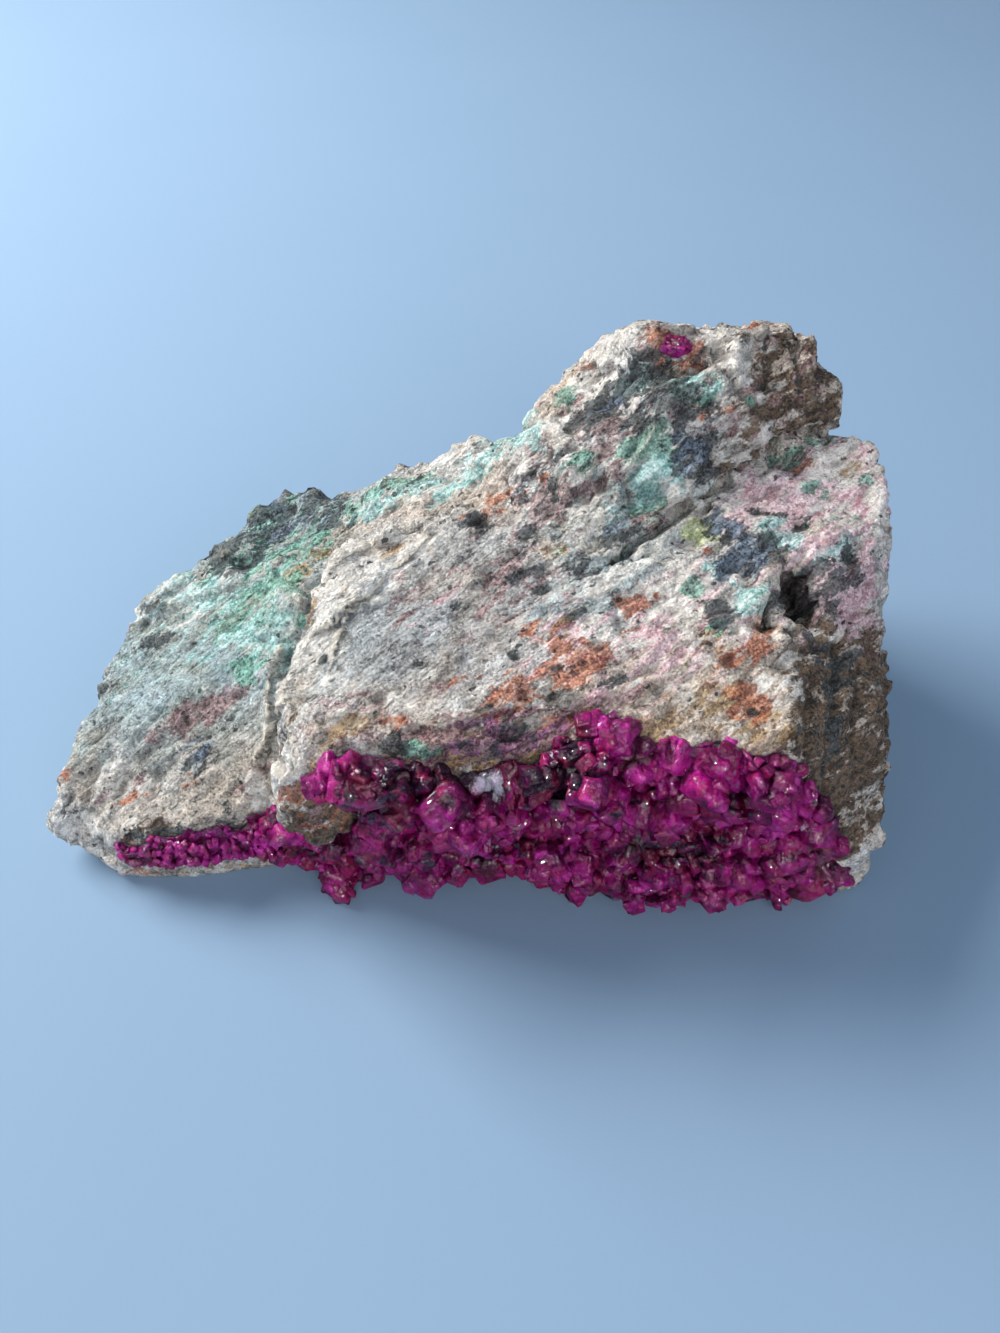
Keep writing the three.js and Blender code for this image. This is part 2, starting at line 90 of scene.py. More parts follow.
@dataclass(frozen=True)
class Noise:
    """Repeatable noise over arrays of points, one pattern for each seed."""

    seed: int

    def _hash(self, cells: Array, salt: int) -> Array:
        """A number from 0 to 1 for each lattice cell.

        Args:
            cells: Whole-number cells, with the three axes last.
            salt: Tells apart the numbers drawn for one cell.

        Returns:
            An array without the last axis.
        """
        c = cells.astype(np.uint64)
        h = c[..., 0] * np.uint64(73856093)
        h ^= c[..., 1] * np.uint64(19349663)
        h ^= c[..., 2] * np.uint64(83492791)
        h ^= np.uint64((self.seed * 2654435761 + salt * 40503) & 0xFFFFFFFF)
        h = (h ^ (h >> np.uint64(15))) * np.uint64(2246822519) & np.uint64(0xFFFFFFFF)
        h = (h ^ (h >> np.uint64(13))) * np.uint64(3266489917) & np.uint64(0xFFFFFFFF)
        h = h ^ (h >> np.uint64(16))
        return h.astype(np.float64) / float(0xFFFFFFFF)

    def smooth(self, points: Array) -> Array:
        """Gradient noise with features about one unit across.

        Args:
            points: Places, with the three axes last.

        Returns:
            Values from about -1 to 1, without the last axis.
        """
        base = np.floor(points)
        inside = points - base
        ease = inside**3 * (inside * (inside * 6.0 - 15.0) + 10.0)
        total = np.zeros(points.shape[:-1])
        for corner in range(8):
            step = np.array([corner & 1, (corner >> 1) & 1, corner >> 2], float)
            cell = base + step + 4096.0
            slope = np.stack([self._hash(cell, salt) for salt in (1, 2, 3)], -1) * 2.0 - 1.0
            weight = np.prod(np.where(step > 0.5, ease, 1.0 - ease), -1)
            total += weight * np.sum(slope * (inside - step), -1)
        return total * 1.6

    def cloud(self, points: Array, octaves: int) -> Array:
        """Several octaves of gradient noise, each finer and weaker than the last.

        Args:
            points: Places, with the three axes last.
            octaves: How many are summed.

        Returns:
            Values from about -1 to 1, without the last axis.
        """
        total = np.zeros(points.shape[:-1])
        for octave in range(octaves):
            total += self.smooth(points * 2.03**octave + 17.3 * octave) * 0.52**octave
        return total

    def chips(self, points: Array, tilt: float) -> Array:
        """A surface of flat broken chips, each at its own height and tilt.

        Args:
            points: Places, measured in chips.
            tilt: How steeply a chip may lean, against its height of 0 to 1.

        Returns:
            The height, about -1 to 1, with the steps between chips eased.
        """
        base = np.floor(points)
        nearest = np.full(points.shape[:-1], 9.0)
        second = nearest.copy()
        height = np.zeros(points.shape[:-1])
        beside = height.copy()
        for i in (-1, 0, 1):
            for j in (-1, 0, 1):
                for k in (-1, 0, 1):
                    cell = base + np.array([i, j, k], float)
                    key = cell + 4096.0
                    draws = [self._hash(key, salt) for salt in range(4, 11)]
                    offset = points - cell - np.stack(draws[:3], -1)
                    lean = np.stack(draws[3:6], -1) * 2.0 - 1.0
                    own = draws[6] * 2.0 - 1.0 + tilt * np.sum(offset * lean, -1)
                    away = np.linalg.norm(offset, axis=-1)
                    closer = away < nearest
                    beside = np.where(closer, height, np.where(away < second, own, beside))
                    second = np.where(closer, nearest, np.minimum(second, away))
                    height = np.where(closer, own, height)
                    nearest = np.where(closer, away, nearest)
        share = 0.5 * eased(0.16, 0.0, second - nearest)
        return height + share * (beside - height)


# ---- the camera


@dataclass
class SpecimenCamera:
    """The camera that looks down on the druse, and the rays through its picture."""

    place_mm: Triple = (5.82, -97.75, 133.0)
    look_down_deg: float = 50.0
    picture: tuple[int, int] = (1000, 1333)
    focal_px: float = 1050.0
    sensor_mm: float = 36.0

    def make(self) -> None:
        """Makes the camera and gives it to the scene."""
        data = bpy.data.cameras.new("camera")
        data.sensor_fit = "AUTO"
        data.sensor_width = self.sensor_mm
        data.lens = self.sensor_mm * self.focal_px / max(self.picture)
        data.clip_start = 0.002
        camera = bpy.data.objects.new("camera", data)
        camera.location = Vector(self.place_mm) * MM
        camera.rotation_euler = (math.radians(90.0 - self.look_down_deg), 0.0, 0.0)
        bpy.context.scene.collection.objects.link(camera)
        bpy.context.scene.camera = camera

    def axes(self) -> tuple[Vector, Vector, Vector]:
        """The directions of the camera.

        Returns:
            Its right, up and forward directions.
        """
        tilt = math.radians(self.look_down_deg)
        forward = Vector((0.0, math.cos(tilt), -math.sin(tilt)))
        up = Vector((0.0, math.sin(tilt), math.cos(tilt)))
        return Vector((1.0, 0.0, 0.0)), up, forward

    def ray(self, pixel: Pixel) -> Vector:
        """The way that a pixel looks.

        Args:
            pixel: Across and down in the picture.

        Returns:
            The direction from the camera through the pixel.
        """
        right, up, forward = self.axes()
        aside = (pixel[0] - self.picture[0] / 2) / self.focal_px
        above = (self.picture[1] / 2 - pixel[1]) / self.focal_px
        return (forward + aside * right + above * up).normalized()


@dataclass
class Spot:
    """A place on a surface, with its outward normal, in millimetres."""

    at: Array
    normal: Array


@dataclass
class Caster:
    """Finds the places that pixels of the picture show on a mesh."""

    camera: SpecimenCamera
    tree: BVHTree
    middle: Pixel = (500.0, 650.0)
    search_steps: int = 60
    grazing: float = -0.15

    def spot(self, pixel: Pixel) -> Spot:
        """Finds the place on the mesh behind a pixel.

        Args:
            pixel: It is moved towards the middle as long as its ray passes the mesh.

        Returns:
            The place and its normal.
        """
        start = Vector(self.camera.place_mm)
        for step in range(self.search_steps):
            share = step / self.search_steps
            aim = [own + share * (mid - own) for own, mid in zip(pixel, self.middle)]
            at, normal, _, _ = self.tree.ray_cast(start, self.camera.ray(aim))
            if at is not None:
                return Spot(np.array(at), np.array(normal))
        raise ValueError(f"nothing lies behind the pixel {pixel}")

    def direction(self, spot: Spot, turn_deg: float) -> Array:
        """The direction on the surface that a turn in the picture shows.

        Args:
            spot: Where the direction starts.
            turn_deg: Anticlockwise from the picture's right.

        Returns:
            A unit vector in the surface.
        """
        right, up, _ = self.camera.axes()
        turn = math.radians(turn_deg)
        across = np.array(math.cos(turn) * right + math.sin(turn) * up)
        ray = unit(spot.at - np.array(self.camera.place_mm))
        slide = np.dot(across, spot.normal) / min(np.dot(ray, spot.normal), self.grazing)
        return unit(across - slide * ray)


# ---- meshes and objects


def merged_bmesh(*nodes: str) -> bmesh.types.BMesh:
    """The solids of CAD nodes as one mesh.

    Args:
        nodes: The nodes' names.

    Returns:
        A mesh in millimetres, without doubles.
    """
    bm = bmesh.new()
    for node in nodes:
        bm.from_mesh(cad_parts[node].data)
    bmesh.ops.remove_doubles(bm, verts=bm.verts[:], dist=1e-7)
    bmesh.ops.scale(bm, vec=Vector((1.0, 1.0, 1.0)) / MM, verts=bm.verts[:])
    return bm


def tree_of(*nodes: str) -> BVHTree:
    """A search tree of the solids of CAD nodes.

    Args:
        nodes: The nodes' names.

    Returns:
        The tree, in millimetres.
    """
    bm = merged_bmesh(*nodes)
    tree = BVHTree.FromBMesh(bm)
    bm.free()
    return tree


def object_from(bm: bmesh.types.BMesh, name: str) -> Object:
    """Makes an object of a mesh in millimetres and frees the mesh.

    Args:
        bm: The finished mesh.
        name: The piece's name.

    Returns:
        An object at the origin, with its mesh in metres.
    """
    bmesh.ops.scale(bm, vec=Vector((MM, MM, MM)), verts=bm.verts[:])
    mesh = bpy.data.meshes.new(name)
    bm.to_mesh(mesh)
    bm.free()
    made = bpy.data.objects.new(name, mesh)
    bpy.context.scene.collection.objects.link(made)
    return made


@contextmanager
def edited(mesh: bpy.types.Mesh) -> Iterator[bmesh.types.BMesh]:
    """Opens a mesh for bmesh operators and writes it back.

    Args:
        mesh: The mesh that changes.

    Yields:
        Its bmesh.
    """
    bm = bmesh.new()
    bm.from_mesh(mesh)
    yield bm
    bm.to_mesh(mesh)
    bm.free()


def soften(bm: bmesh.types.BMesh, verts: list[bmesh.types.BMVert], passes: int) -> None:
    """Eases some points of a mesh towards their neighbours.

    Args:
        bm: The mesh.
        verts: The points that move.
        passes: How many times they do.
    """
    for _ in range(passes):
        bmesh.ops.smooth_vert(
            bm, verts=verts, factor=0.5, use_axis_x=True, use_axis_y=True, use_axis_z=True
        )


def dress(made: Object, material: bpy.types.Material) -> None:
    """Gives an object its one material."""
    made.data.materials.clear()
    made.data.materials.append(material)


def apply_modifiers(made: Object) -> None:
    """Puts the result of an object's modifiers into its mesh.

    Args:
        made: The object, which loses its modifiers.
    """
    graph = bpy.context.evaluated_depsgraph_get()
    baked = bpy.data.meshes.new_from_object(made.evaluated_get(graph))
    old = made.data
    baked.name = old.name
    made.modifiers.clear()
    made.data = baked
    bpy.data.meshes.remove(old)


def write_attribute(mesh: bpy.types.Mesh, name: str, values: Array) -> None:
    """Stores one number for each vertex, for the materials to read."""
    layer = mesh.attributes.new(name, "FLOAT", "POINT")
    layer.data.foreach_set("value", np.asarray(values, np.float32))


# ---- shader maths


class Field:
    """A number that changes over a surface: the output socket of a shader node."""

    def __init__(self, graph: "ShaderGraph", socket: Socket) -> None:
        """Keeps the socket and the graph that new nodes go to."""
        self.graph = graph
        self.socket = socket

    def _math(self, operation: str, *others: "Field | float") -> "Field":
        """Adds a Math node.

        Args:
            operation: What it works out.
            others: The values after this one.

        Returns:
            The result.
        """
        values = dict(enumerate((self, *others)))
        node = self.graph.node("ShaderNodeMath", {"operation": operation}, values)
        return Field(self.graph, node.outputs[0])

    def __add__(self, other: "Field | float") -> "Field":
        """The sum."""
        return self._math("ADD", other)

    __radd__ = __add__

    def __mul__(self, other: "Field | float") -> "Field":
        """The product."""
        return self._math("MULTIPLY", other)

    __rmul__ = __mul__

    def __sub__(self, other: "Field | float") -> "Field":
        """The difference."""
        return self._math("SUBTRACT", other)

    def __rsub__(self, other: float) -> "Field":
        """A plain number less this value."""
        return self * -1.0 + other

    def ramp(self, low: float, high: float) -> "Field":
        """Eases this value to a range from 0 to 1.

        Args:
            low: Where the result is 0. It may lie above high, for a falling ramp.
            high: Where the result is 1.

        Returns:
            The result.
        """
        settings = {"interpolation_type": "SMOOTHSTEP"}
        values = {"Value": self, "From Min": low, "From Max": high}
        if low > high:
            values.update({"From Min": high, "From Max": low, "To Min": 1.0, "To Max": 0.0})
        node = self.graph.node("ShaderNodeMapRange", settings, values)
        return Field(self.graph, node.outputs[0])

    def max(self, other: "Field | float") -> "Field":
        """The larger of the two."""
        return self._math("MAXIMUM", other)


class ShaderGraph:
    """A material's nodes, with its Object coordinates in millimetres."""

    def __init__(self, name: str) -> None:
        """Starts a material that holds only its output and coordinates.

        Args:
            name: The material's name.
        """
        self.material = bpy.data.materials.new(name)
        self.material.use_nodes = True
        self.tree = self.material.node_tree
        self.tree.nodes.clear()
        self.output = self.node("ShaderNodeOutputMaterial")
        coordinates = self.node("ShaderNodeTexCoord")
        scaled = self.node(
            "ShaderNodeVectorMath",
            {"operation": "SCALE"},
            {0: coordinates.outputs["Object"], "Scale": 1.0 / MM},
        )
        self.place = scaled.outputs[0]

    def node(
        self, kind: str, settings: dict | None = None, values: dict | None = None
    ) -> bpy.types.Node:
        """Adds a node.

        Args:
            kind: The node's type.
            settings: The node's own properties, set first; stops are a ramp's colours.
            values: For each input socket, by name or number, a link or a plain value.

        Returns:
            The node.
        """
        node = self.tree.nodes.new(kind)
        for name, setting in (settings or {}).items():
            if name == "stops":
                self._set_stops(node.color_ramp, setting)
            else:
                setattr(node, name, setting)
        for key, value in (values or {}).items():
            if isinstance(value, Field):
                value = value.socket
            if isinstance(value, Socket):
                self.tree.links.new(value, node.inputs[key])
            else:
                node.inputs[key].default_value = value
        return node

    @staticmethod
    def _set_stops(ramp: bpy.types.ColorRamp, stops: Sequence[tuple[float, Colour]]) -> None:
        """Gives a colour ramp its stops.

        Args:
            ramp: The ramp.
            stops: Its positions and colours, in order.
        """
        while len(ramp.elements) > 1:
            ramp.elements.remove(ramp.elements[-1])
        ramp.elements[0].position, ramp.elements[0].color = stops[0]
        for position, colour in stops[1:]:
            ramp.elements.new(position).color = colour

    def attribute(self, name: str) -> Field:
        """A number stored on the mesh."""
        node = self.node("ShaderNodeAttribute", {"attribute_name": name})
        return Field(self, node.outputs["Fac"])

    def stretched(
        self,
        turn_deg: float,
        stretch: Triple,
        shift: float = 0.0,
        push: Field | None = None,
        reach: float = 0.0,
    ) -> Socket:
        """The place in millimetres, turned about Z and divided by the stretch.

        Args:
            turn_deg: How far the longest way is turned from X.
            stretch: How much longer features become along each axis.
            shift: Moves the pattern, so that two of one kind differ.
            push: A number that moves the place about, or None.
            reach: How far the push may move it.

        Returns:
            The coordinates.
        """
        place = self.place
        if push is not None:
            moved = (push - 0.5) * 2.0 * reach
            whole = self.node("ShaderNodeCombineXYZ", None, {0: moved, 1: moved * -1.0, 2: moved})
            place = self._vector("ADD", place, whole.outputs[0]).outputs[0]
        values = {"Vector": place, "Location": (shift, -shift, shift), "Scale": stretch}
        values["Rotation"] = (0.0, 0.0, math.radians(turn_deg))
        return self.node("ShaderNodeMapping", {"vector_type": "TEXTURE"}, values).outputs[0]

    def noise(
        self,
        size: float,
        detail: float = 3.0,
        rough: float = 0.55,
        place: Socket | None = None,
        twist: float = 0.0,
    ) -> Field:
        """Noise from 0 to 1.

        Args:
            size: The width of its features in millimetres.
            detail: How many finer octaves it has.
            rough: How strong they are.
            place: The coordinates, or None for the plain ones.
            twist: How far it is distorted.

        Returns:
            The noise.
        """
        values = {"Vector": place or self.place, "Scale": 1.0 / size, "Detail": detail}
        values.update(Roughness=rough, Distortion=twist)
        node = self.node("ShaderNodeTexNoise", {"noise_dimensions": "3D"}, values)
        return Field(self, node.outputs["Fac"])

    def grains(self, size: float, place: Socket | None = None) -> tuple[Field, Field]:
        """Round cells.

        Args:
            size: The width of a cell in millimetres.
            place: The coordinates, or None for the plain ones.

        Returns:
            The distance from a cell's middle, and a number from 0 to 1 that belongs to it.
        """
        values = {"Vector": place or self.place, "Scale": 1.0 / size}
        node = self.node("ShaderNodeTexVoronoi", None, values)
        parts = self.node("ShaderNodeSeparateColor", None, {0: node.outputs["Color"]})
        return Field(self, node.outputs["Distance"]), Field(self, parts.outputs[0])

    def facets(self, size: float, place: Socket | None = None) -> Field:
        """Small flats, each with its own tilt.

        Args:
            size: The width of a flat in millimetres.
            place: The coordinates, or None for the plain ones.

        Returns:
            Their height in millimetres.
        """
        place = place or self.place
        cells = self.node("ShaderNodeTexVoronoi", None, {"Vector": place, "Scale": 1.0 / size})
        apart = self._vector("SUBTRACT", place, cells.outputs["Position"])
        lean = self._vector("SUBTRACT", cells.outputs["Color"], (0.5, 0.5, 0.5))
        height = self._vector("DOT_PRODUCT", apart.outputs[0], lean.outputs[0])
        return Field(self, height.outputs["Value"])

    def _vector(self, operation: str, *values: object) -> bpy.types.Node:
        """A Vector Math node of links or plain vectors."""
        return self.node("ShaderNodeVectorMath", {"operation": operation}, dict(enumerate(values)))

    def mix(
        self,
        share: "Field | float",
        first: "Socket | Colour",
        second: "Socket | Colour",
        blend: str = "MIX",
    ) -> Socket:
        """Blends two colours.

        Args:
            share: How much of the second shows, from 0 to 1.
            first: A link or a plain colour.
            second: Another.
            blend: How they are blended.

        Returns:
            The colour.
        """
        settings = {"data_type": "RGBA", "blend_type": blend, "clamp_factor": True}
        node = self.node("ShaderNodeMix", settings, {0: share, 6: first, 7: second})
        return node.outputs[2]

    def colours(self, value: Field, stops: Sequence[tuple[float, Colour]]) -> Socket:
        """A colour that follows a number."""
        node = self.node("ShaderNodeValToRGB", {"stops": stops}, {0: value})
        return node.outputs[0]

    def shade(self, constants: dict, linked: dict) -> None:
        """Ends the material in one Principled shader, from even inputs and varied ones."""
        shader = self.node("ShaderNodeBsdfPrincipled", None, {**constants, **linked})
        self.tree.links.new(shader.outputs[0], self.output.inputs["Surface"])

    def relief(self, height: Field) -> Socket:
        """A bumped normal from a height in millimetres."""
        values = {"Height": height, "Distance": MM, "Strength": 1.0}
        return self.node("ShaderNodeBump", None, values).outputs[0]


def paint(hex_code: str) -> Colour:
    """A colour written as on a screen, in the linear values that shaders take.

    Args:
        hex_code: Two hexadecimal digits each for red, green and blue.

    Returns:
        The linear colour, opaque.
    """
    parts = [int(hex_code[i : i + 2], 16) / 255.0 for i in (0, 2, 4)]
    linear = [c / 12.92 if c <= 0.04045 else ((c + 0.055) / 1.055) ** 2.4 for c in parts]
    return (*linear, 1.0)


# ---- stains on the rock


class Mineral(Enum):
    """What stains the rock. The value is the name of its attribute on the mesh."""

    MALACHITE = "malachite"
    MINT = "mint"
    LIME = "lime"
    BLACK = "black"
    AZURE = "azure"
    RUST = "rust"
    OCHRE = "ochre"
    MAUVE = "mauve"
    PINK = "pink"
    WHITE = "white"
    BROWN = "brown"
    PURPLE = "purple"
    COOL = "cool"
    CREAM = "cream"
    GREY = "grey"


@dataclass(frozen=True)
class Stain:
    """A patch of one mineral: its pixel, half length and half width in mm, turn, strength."""

    x: float
    y: float
    length: float
    width: float
    turn: float = 30.0
    strength: float = 1.0


STAINS: dict[Mineral, list[Stain]] = {
    Mineral.MALACHITE: [
        Stain(272, 578, 7, 3.2, 18, 0.65), Stain(262, 606, 7, 3.4, 20, 0.5),
        Stain(300, 548, 6, 2.6, 15, 0.75), Stain(238, 566, 6, 2.4, 18, 0.6),
        Stain(290, 630, 4, 2.2, 20, 0.6), Stain(250, 667, 2.4, 1.8, 20),
        Stain(263, 518, 2, 3, 30, 0.7), Stain(563, 395, 2.4, 1.8, 30, 0.9),
        Stain(585, 466, 2, 1.6, 40, 0.75), Stain(688, 391, 4.6, 1.8, -20, 0.75),
        Stain(750, 402, 1, 1.3, 60), Stain(656, 437, 2.8, 1.8, 60, 0.85),
        Stain(637, 449, 2.2, 1.6, 20), Stain(641, 501, 2.4, 2, 50, 0.6),
        Stain(661, 498, 1.8, 1.4, 30, 0.6), Stain(674, 460, 1.4, 2.4, 20, 0.9),
        Stain(815, 488, 1.5, 1.1, 0), Stain(865, 477, 1.2, 1.1, 30, 0.8), Stain(691, 588, 1.5, 1.1),
        Stain(777, 568, 2.4, 1.7, 30, 0.8), Stain(723, 630, 1.6, 1.2, 20, 0.8),
        Stain(416, 750, 2, 1.2, 0), Stain(553, 556, 1.6, 1.2, 10, 0.6),
        Stain(830, 521, 3.4, 0.9, 8, 0.6), Stain(777, 459, 3.6, 1.1, 25, 0.55),
        Stain(818, 438, 3.6, 0.9, -8, 0.5), Stain(400, 488, 6, 1.8, 16, 0.8),
        Stain(352, 508, 5, 1.8, 14, 0.6), Stain(285, 508, 11, 9, 15, 0.4),
        Stain(645, 486, 0.9, 3, 10, 0.9), Stain(590, 470, 8, 6, 35, 0.12),
        Stain(200, 620, 12, 8, 20, 0.15),
    ],
    Mineral.MINT: [
        Stain(215, 590, 8, 4, 20, 0.45), Stain(250, 630, 7, 4, 20, 0.45),
        Stain(395, 500, 8, 2.2, 16, 0.7), Stain(468, 472, 5, 2.2, 30, 0.8), Stain(516, 438, 4, 2.2),
        Stain(490, 455, 4, 2, 30, 0.8), Stain(526, 436, 2.4, 1.8, 20),
        Stain(637, 377, 3, 1.8, 0, 0.8), Stain(654, 482, 2.8, 3.4, 60),
        Stain(664, 470, 2.2, 2, 50, 0.8), Stain(618, 512, 1.6, 4, 10, 0.6),
        Stain(756, 598, 2.4, 1.6, 40), Stain(731, 583, 4.2, 1.2, 5, 0.9),
        Stain(712, 567, 1.5, 1.5, 60, 0.7), Stain(772, 528, 3, 1.4, 20, 0.9),
        Stain(786, 540, 2.2, 1.6, 0, 0.7), Stain(834, 552, 3, 1.5, 20, 0.8),
        Stain(846, 536, 1.4, 1.2, 20, 0.8), Stain(706, 388, 3, 1.6, -15, 0.6),
        Stain(283, 655, 1.4, 5, 10, 0.45), Stain(170, 660, 16, 9, 25, 0.2),
    ],
    Mineral.LIME: [
        Stain(700, 529, 2.2, 1.6, 40), Stain(709, 544, 1.6, 1.4, 20, 0.5),
    ],
    Mineral.BLACK: [
        # Painted shadow: the first two stains on the next line darken the cavity under the hook.
        Stain(783, 604, 3, 1.5, 45), Stain(771, 618, 1.4, 0.7, 45), Stain(325, 661, 0.6, 0.4, 20),
        Stain(560, 668, 0.9, 0.3, 30, 0.8), Stain(753, 712, 0.7, 0.6, 20),
        Stain(198, 757, 2.6, 2.2, 20, 0.75), Stain(150, 610, 2, 1.2, 40, 0.8),
        Stain(101, 684, 2.2, 1.6, 30, 0.8), Stain(214, 549, 3, 1.6, 20, 0.85),
        Stain(249, 562, 3.4, 1.8, 25, 0.85), Stain(212, 566, 2.2, 1.2, 20, 0.6),
        Stain(152, 643, 4.4, 1.1, 30, 0.7), Stain(68, 814, 1.6, 1.4, 60, 0.6),
        Stain(422, 665, 0.9, 0.8, 0), Stain(515, 657, 0.8, 0.6, 0), Stain(455, 605, 0.8, 0.6, 20),
        Stain(575, 616, 1.6, 0.7, 30, 0.8), Stain(553, 699, 1.6, 1.2, 30, 0.95),
        Stain(480, 522, 1.8, 1.5, 20), Stain(594, 401, 4.4, 1.7, 35), Stain(618, 384, 4, 1.2, 36),
        Stain(641, 361, 4.6, 0.9, -5, 0.85), Stain(660, 378, 2.4, 2.2, 0, 0.7),
        Stain(677, 398, 2.8, 2, -20, 0.95), Stain(678, 412, 2.4, 1.4, 0, 0.95),
        Stain(589, 440, 1.4, 2.6, 20, 0.75), Stain(637, 417, 2.8, 1.8, 10, 0.75),
        Stain(691, 454, 2.6, 3.2, 40), Stain(699, 471, 2, 2.2, 40),
        Stain(714, 445, 1, 1.2, 0, 0.95), Stain(774, 384, 1.6, 1, 10, 0.75),
        Stain(628, 535, 3, 0.8, 38, 0.6), Stain(612, 540, 2.4, 1.6, 60, 0.9),
        Stain(802, 368, 0.7, 5, 0, 0.8), Stain(774, 343, 0.6, 3, 0, 0.7),
        Stain(703, 357, 1.9, 1.3, 0), Stain(664, 354, 1.3, 0.8, 20, 0.8),
        Stain(572, 572, 3.4, 2.6, 30, 0.75), Stain(532, 575, 3.4, 2.6, 30, 0.5),
        Stain(848, 668, 3.6, 3, 0, 0.7), Stain(536, 488, 5, 3.4, 40, 0.42),
        Stain(540, 532, 5, 3.4, 40, 0.4), Stain(398, 486, 4, 1.8, 14, 0.5),
        Stain(835, 572, 4.4, 2.2, 20, 0.75), Stain(645, 416, 2.2, 2, 10, 0.9),
        Stain(660, 395, 2, 3.4, 50, 0.9), Stain(727, 531, 2.3, 2, 20, 0.95),
        Stain(741, 563, 3.8, 2.4, 20, 0.95), Stain(763, 549, 2.2, 2.6),
        Stain(724, 616, 1.9, 2.4, 20), Stain(716, 507, 1.5, 0.8, 40, 0.8),
        Stain(852, 556, 1.6, 1.4, 40, 0.95), Stain(832, 602, 1.2, 0.6, 0, 0.8),
        Stain(700, 604, 1, 0.7, 0, 0.8), Stain(802, 527, 1, 0.8, 20),
        Stain(781, 516, 5, 0.35, -8, 0.8), Stain(605, 683, 1.8, 1.2, 20, 0.8),
        Stain(395, 746, 1.6, 1.2, 0), Stain(485, 710, 1.2, 0.7, 20, 0.7),
        # Stain(790, 590) and Stain(803, 600), over these two lines, are painted shadow in the
        # cavity under the hook.
        Stain(836, 705, 1.2, 10, 8, 0.8), Stain(790, 590, 2.6, 3, 60, 0.9),
        Stain(803, 600, 4.4, 4.4, 0), Stain(158, 835, 3, 1.2, 10, 0.6),
        Stain(230, 830, 4, 1, 10, 0.6), Stain(664, 392, 7, 2.6, -35, 0.9),
        Stain(600, 398, 6, 2, 38, 0.8), Stain(290, 512, 10, 6, 12, 0.75),
        Stain(324, 492, 1.5, 1.2, 20, 0.95), Stain(331, 506, 0.9, 1.9, 10),
        Stain(312, 490, 1.4, 0.7, 0, 0.7), Stain(282, 528, 2.6, 1.1, 10, 0.95),
        Stain(263, 515, 1.6, 0.9, 20, 0.85), Stain(338, 523, 1.6, 0.8, 10, 0.9),
        Stain(316, 526, 1.6, 0.8, 10, 0.8), Stain(225, 562, 7, 4, 20, 0.3),
        Stain(190, 680, 16, 9, 25, 0.1), Stain(500, 745, 14, 3, 12, 0.2),
        Stain(560, 690, 12, 4, 30, 0.18), Stain(160, 840, 12, 2, 8, 0.4),
        Stain(830, 770, 6, 16, 0, 0.3),
    ],
    Mineral.AZURE: [
        Stain(737, 561, 3.6, 2.4, 20), Stain(728, 529, 2, 1.8, 20, 0.7),
        Stain(200, 757, 2.4, 2, 20, 0.6), Stain(603, 400, 3.6, 1.2, 35, 0.6),
        Stain(692, 456, 2.2, 2.8, 40, 0.7), Stain(617, 520, 1.6, 3, 10, 0.6),
        Stain(607, 683, 1.4, 1, 20, 0.6), Stain(290, 514, 10, 7, 12, 0.3),
    ],
    Mineral.RUST: [
        Stain(753, 712, 1.9, 1.7, 20), Stain(568, 653, 2.6, 2, 60), Stain(569, 674, 2.8, 2, 40),
        Stain(512, 695, 2.8, 1.8, 25), Stain(488, 711, 2, 0.8, 20, 0.9),
        Stain(536, 694, 1.6, 1, 20, 0.8), Stain(595, 657, 1.8, 1.8, 30, 0.75),
        Stain(531, 627, 1.4, 0.9, 30, 0.5), Stain(466, 680, 1.6, 1.2, 30, 0.5),
        Stain(581, 358, 1.2, 0.9, 30, 0.8), Stain(657, 343, 1.8, 1.5, 40),
        Stain(684, 360, 3.6, 1.5, -10, 0.7), Stain(662, 335, 1.3, 0.8, 0, 0.8),
        Stain(700, 347, 1.3, 1.1, 0, 0.8), Stain(546, 480, 1.6, 0.9, 30, 0.8),
        Stain(703, 419, 1.4, 0.9, 0, 0.75), Stain(720, 414, 1.3, 0.8, 0, 0.75),
        Stain(502, 497, 3, 0.9, 5, 0.85), Stain(480, 514, 2.6, 0.9, 10, 0.9),
        Stain(474, 524, 0.8, 1.6, 0, 0.8), Stain(802, 463, 2.2, 0.9, 20, 0.7),
        Stain(634, 604, 2.6, 2, 50, 0.8), Stain(763, 631, 2.6, 1.2, 50),
        Stain(748, 655, 2.8, 1.1, 25), Stain(735, 660, 1.6, 1.2, 20, 0.9),
        Stain(743, 691, 1.6, 1.1, 10, 0.8), Stain(624, 637, 1.2, 0.9, 20, 0.5),
        Stain(746, 706, 2, 0.7, 30, 0.9), Stain(760, 716, 0.8, 1.8, 0, 0.9),
        Stain(748, 720, 1.6, 0.6, 0, 0.8), Stain(705, 550, 0.9, 0.7, 0, 0.9),
        Stain(137, 871, 4.2, 1, 0), Stain(124, 842, 1.2, 0.9, 0, 0.7),
        Stain(62, 773, 0.9, 1.4, 0, 0.7), Stain(130, 797, 3.2, 1, 25, 0.5),
        Stain(188, 781, 2, 0.9, 20, 0.5), Stain(303, 790, 2.3, 1.1), Stain(282, 798, 2.1, 1, 20),
        Stain(328, 822, 3.6, 2.8, 10, 0.52), Stain(392, 722, 0.9, 2, 70, 0.7),
        Stain(560, 720, 4, 1, 20, 0.5), Stain(330, 800, 2, 1, 20, 0.6),
        Stain(240, 645, 1.4, 0.8, 20, 0.4), Stain(560, 660, 10, 5, 30, 0.2),
        Stain(745, 660, 7, 8, 30, 0.15),
    ],
    Mineral.OCHRE: [
        Stain(297, 578, 2, 1.4, 20), Stain(321, 555, 2.2, 0.9, 15, 0.85),
        Stain(314, 603, 0.7, 4, 0, 0.85), Stain(553, 377, 1.6, 3.6, 40, 0.75),
        Stain(680, 370, 1.8, 1.3, 0, 0.7), Stain(550, 553, 1.8, 1.2, 10, 0.7),
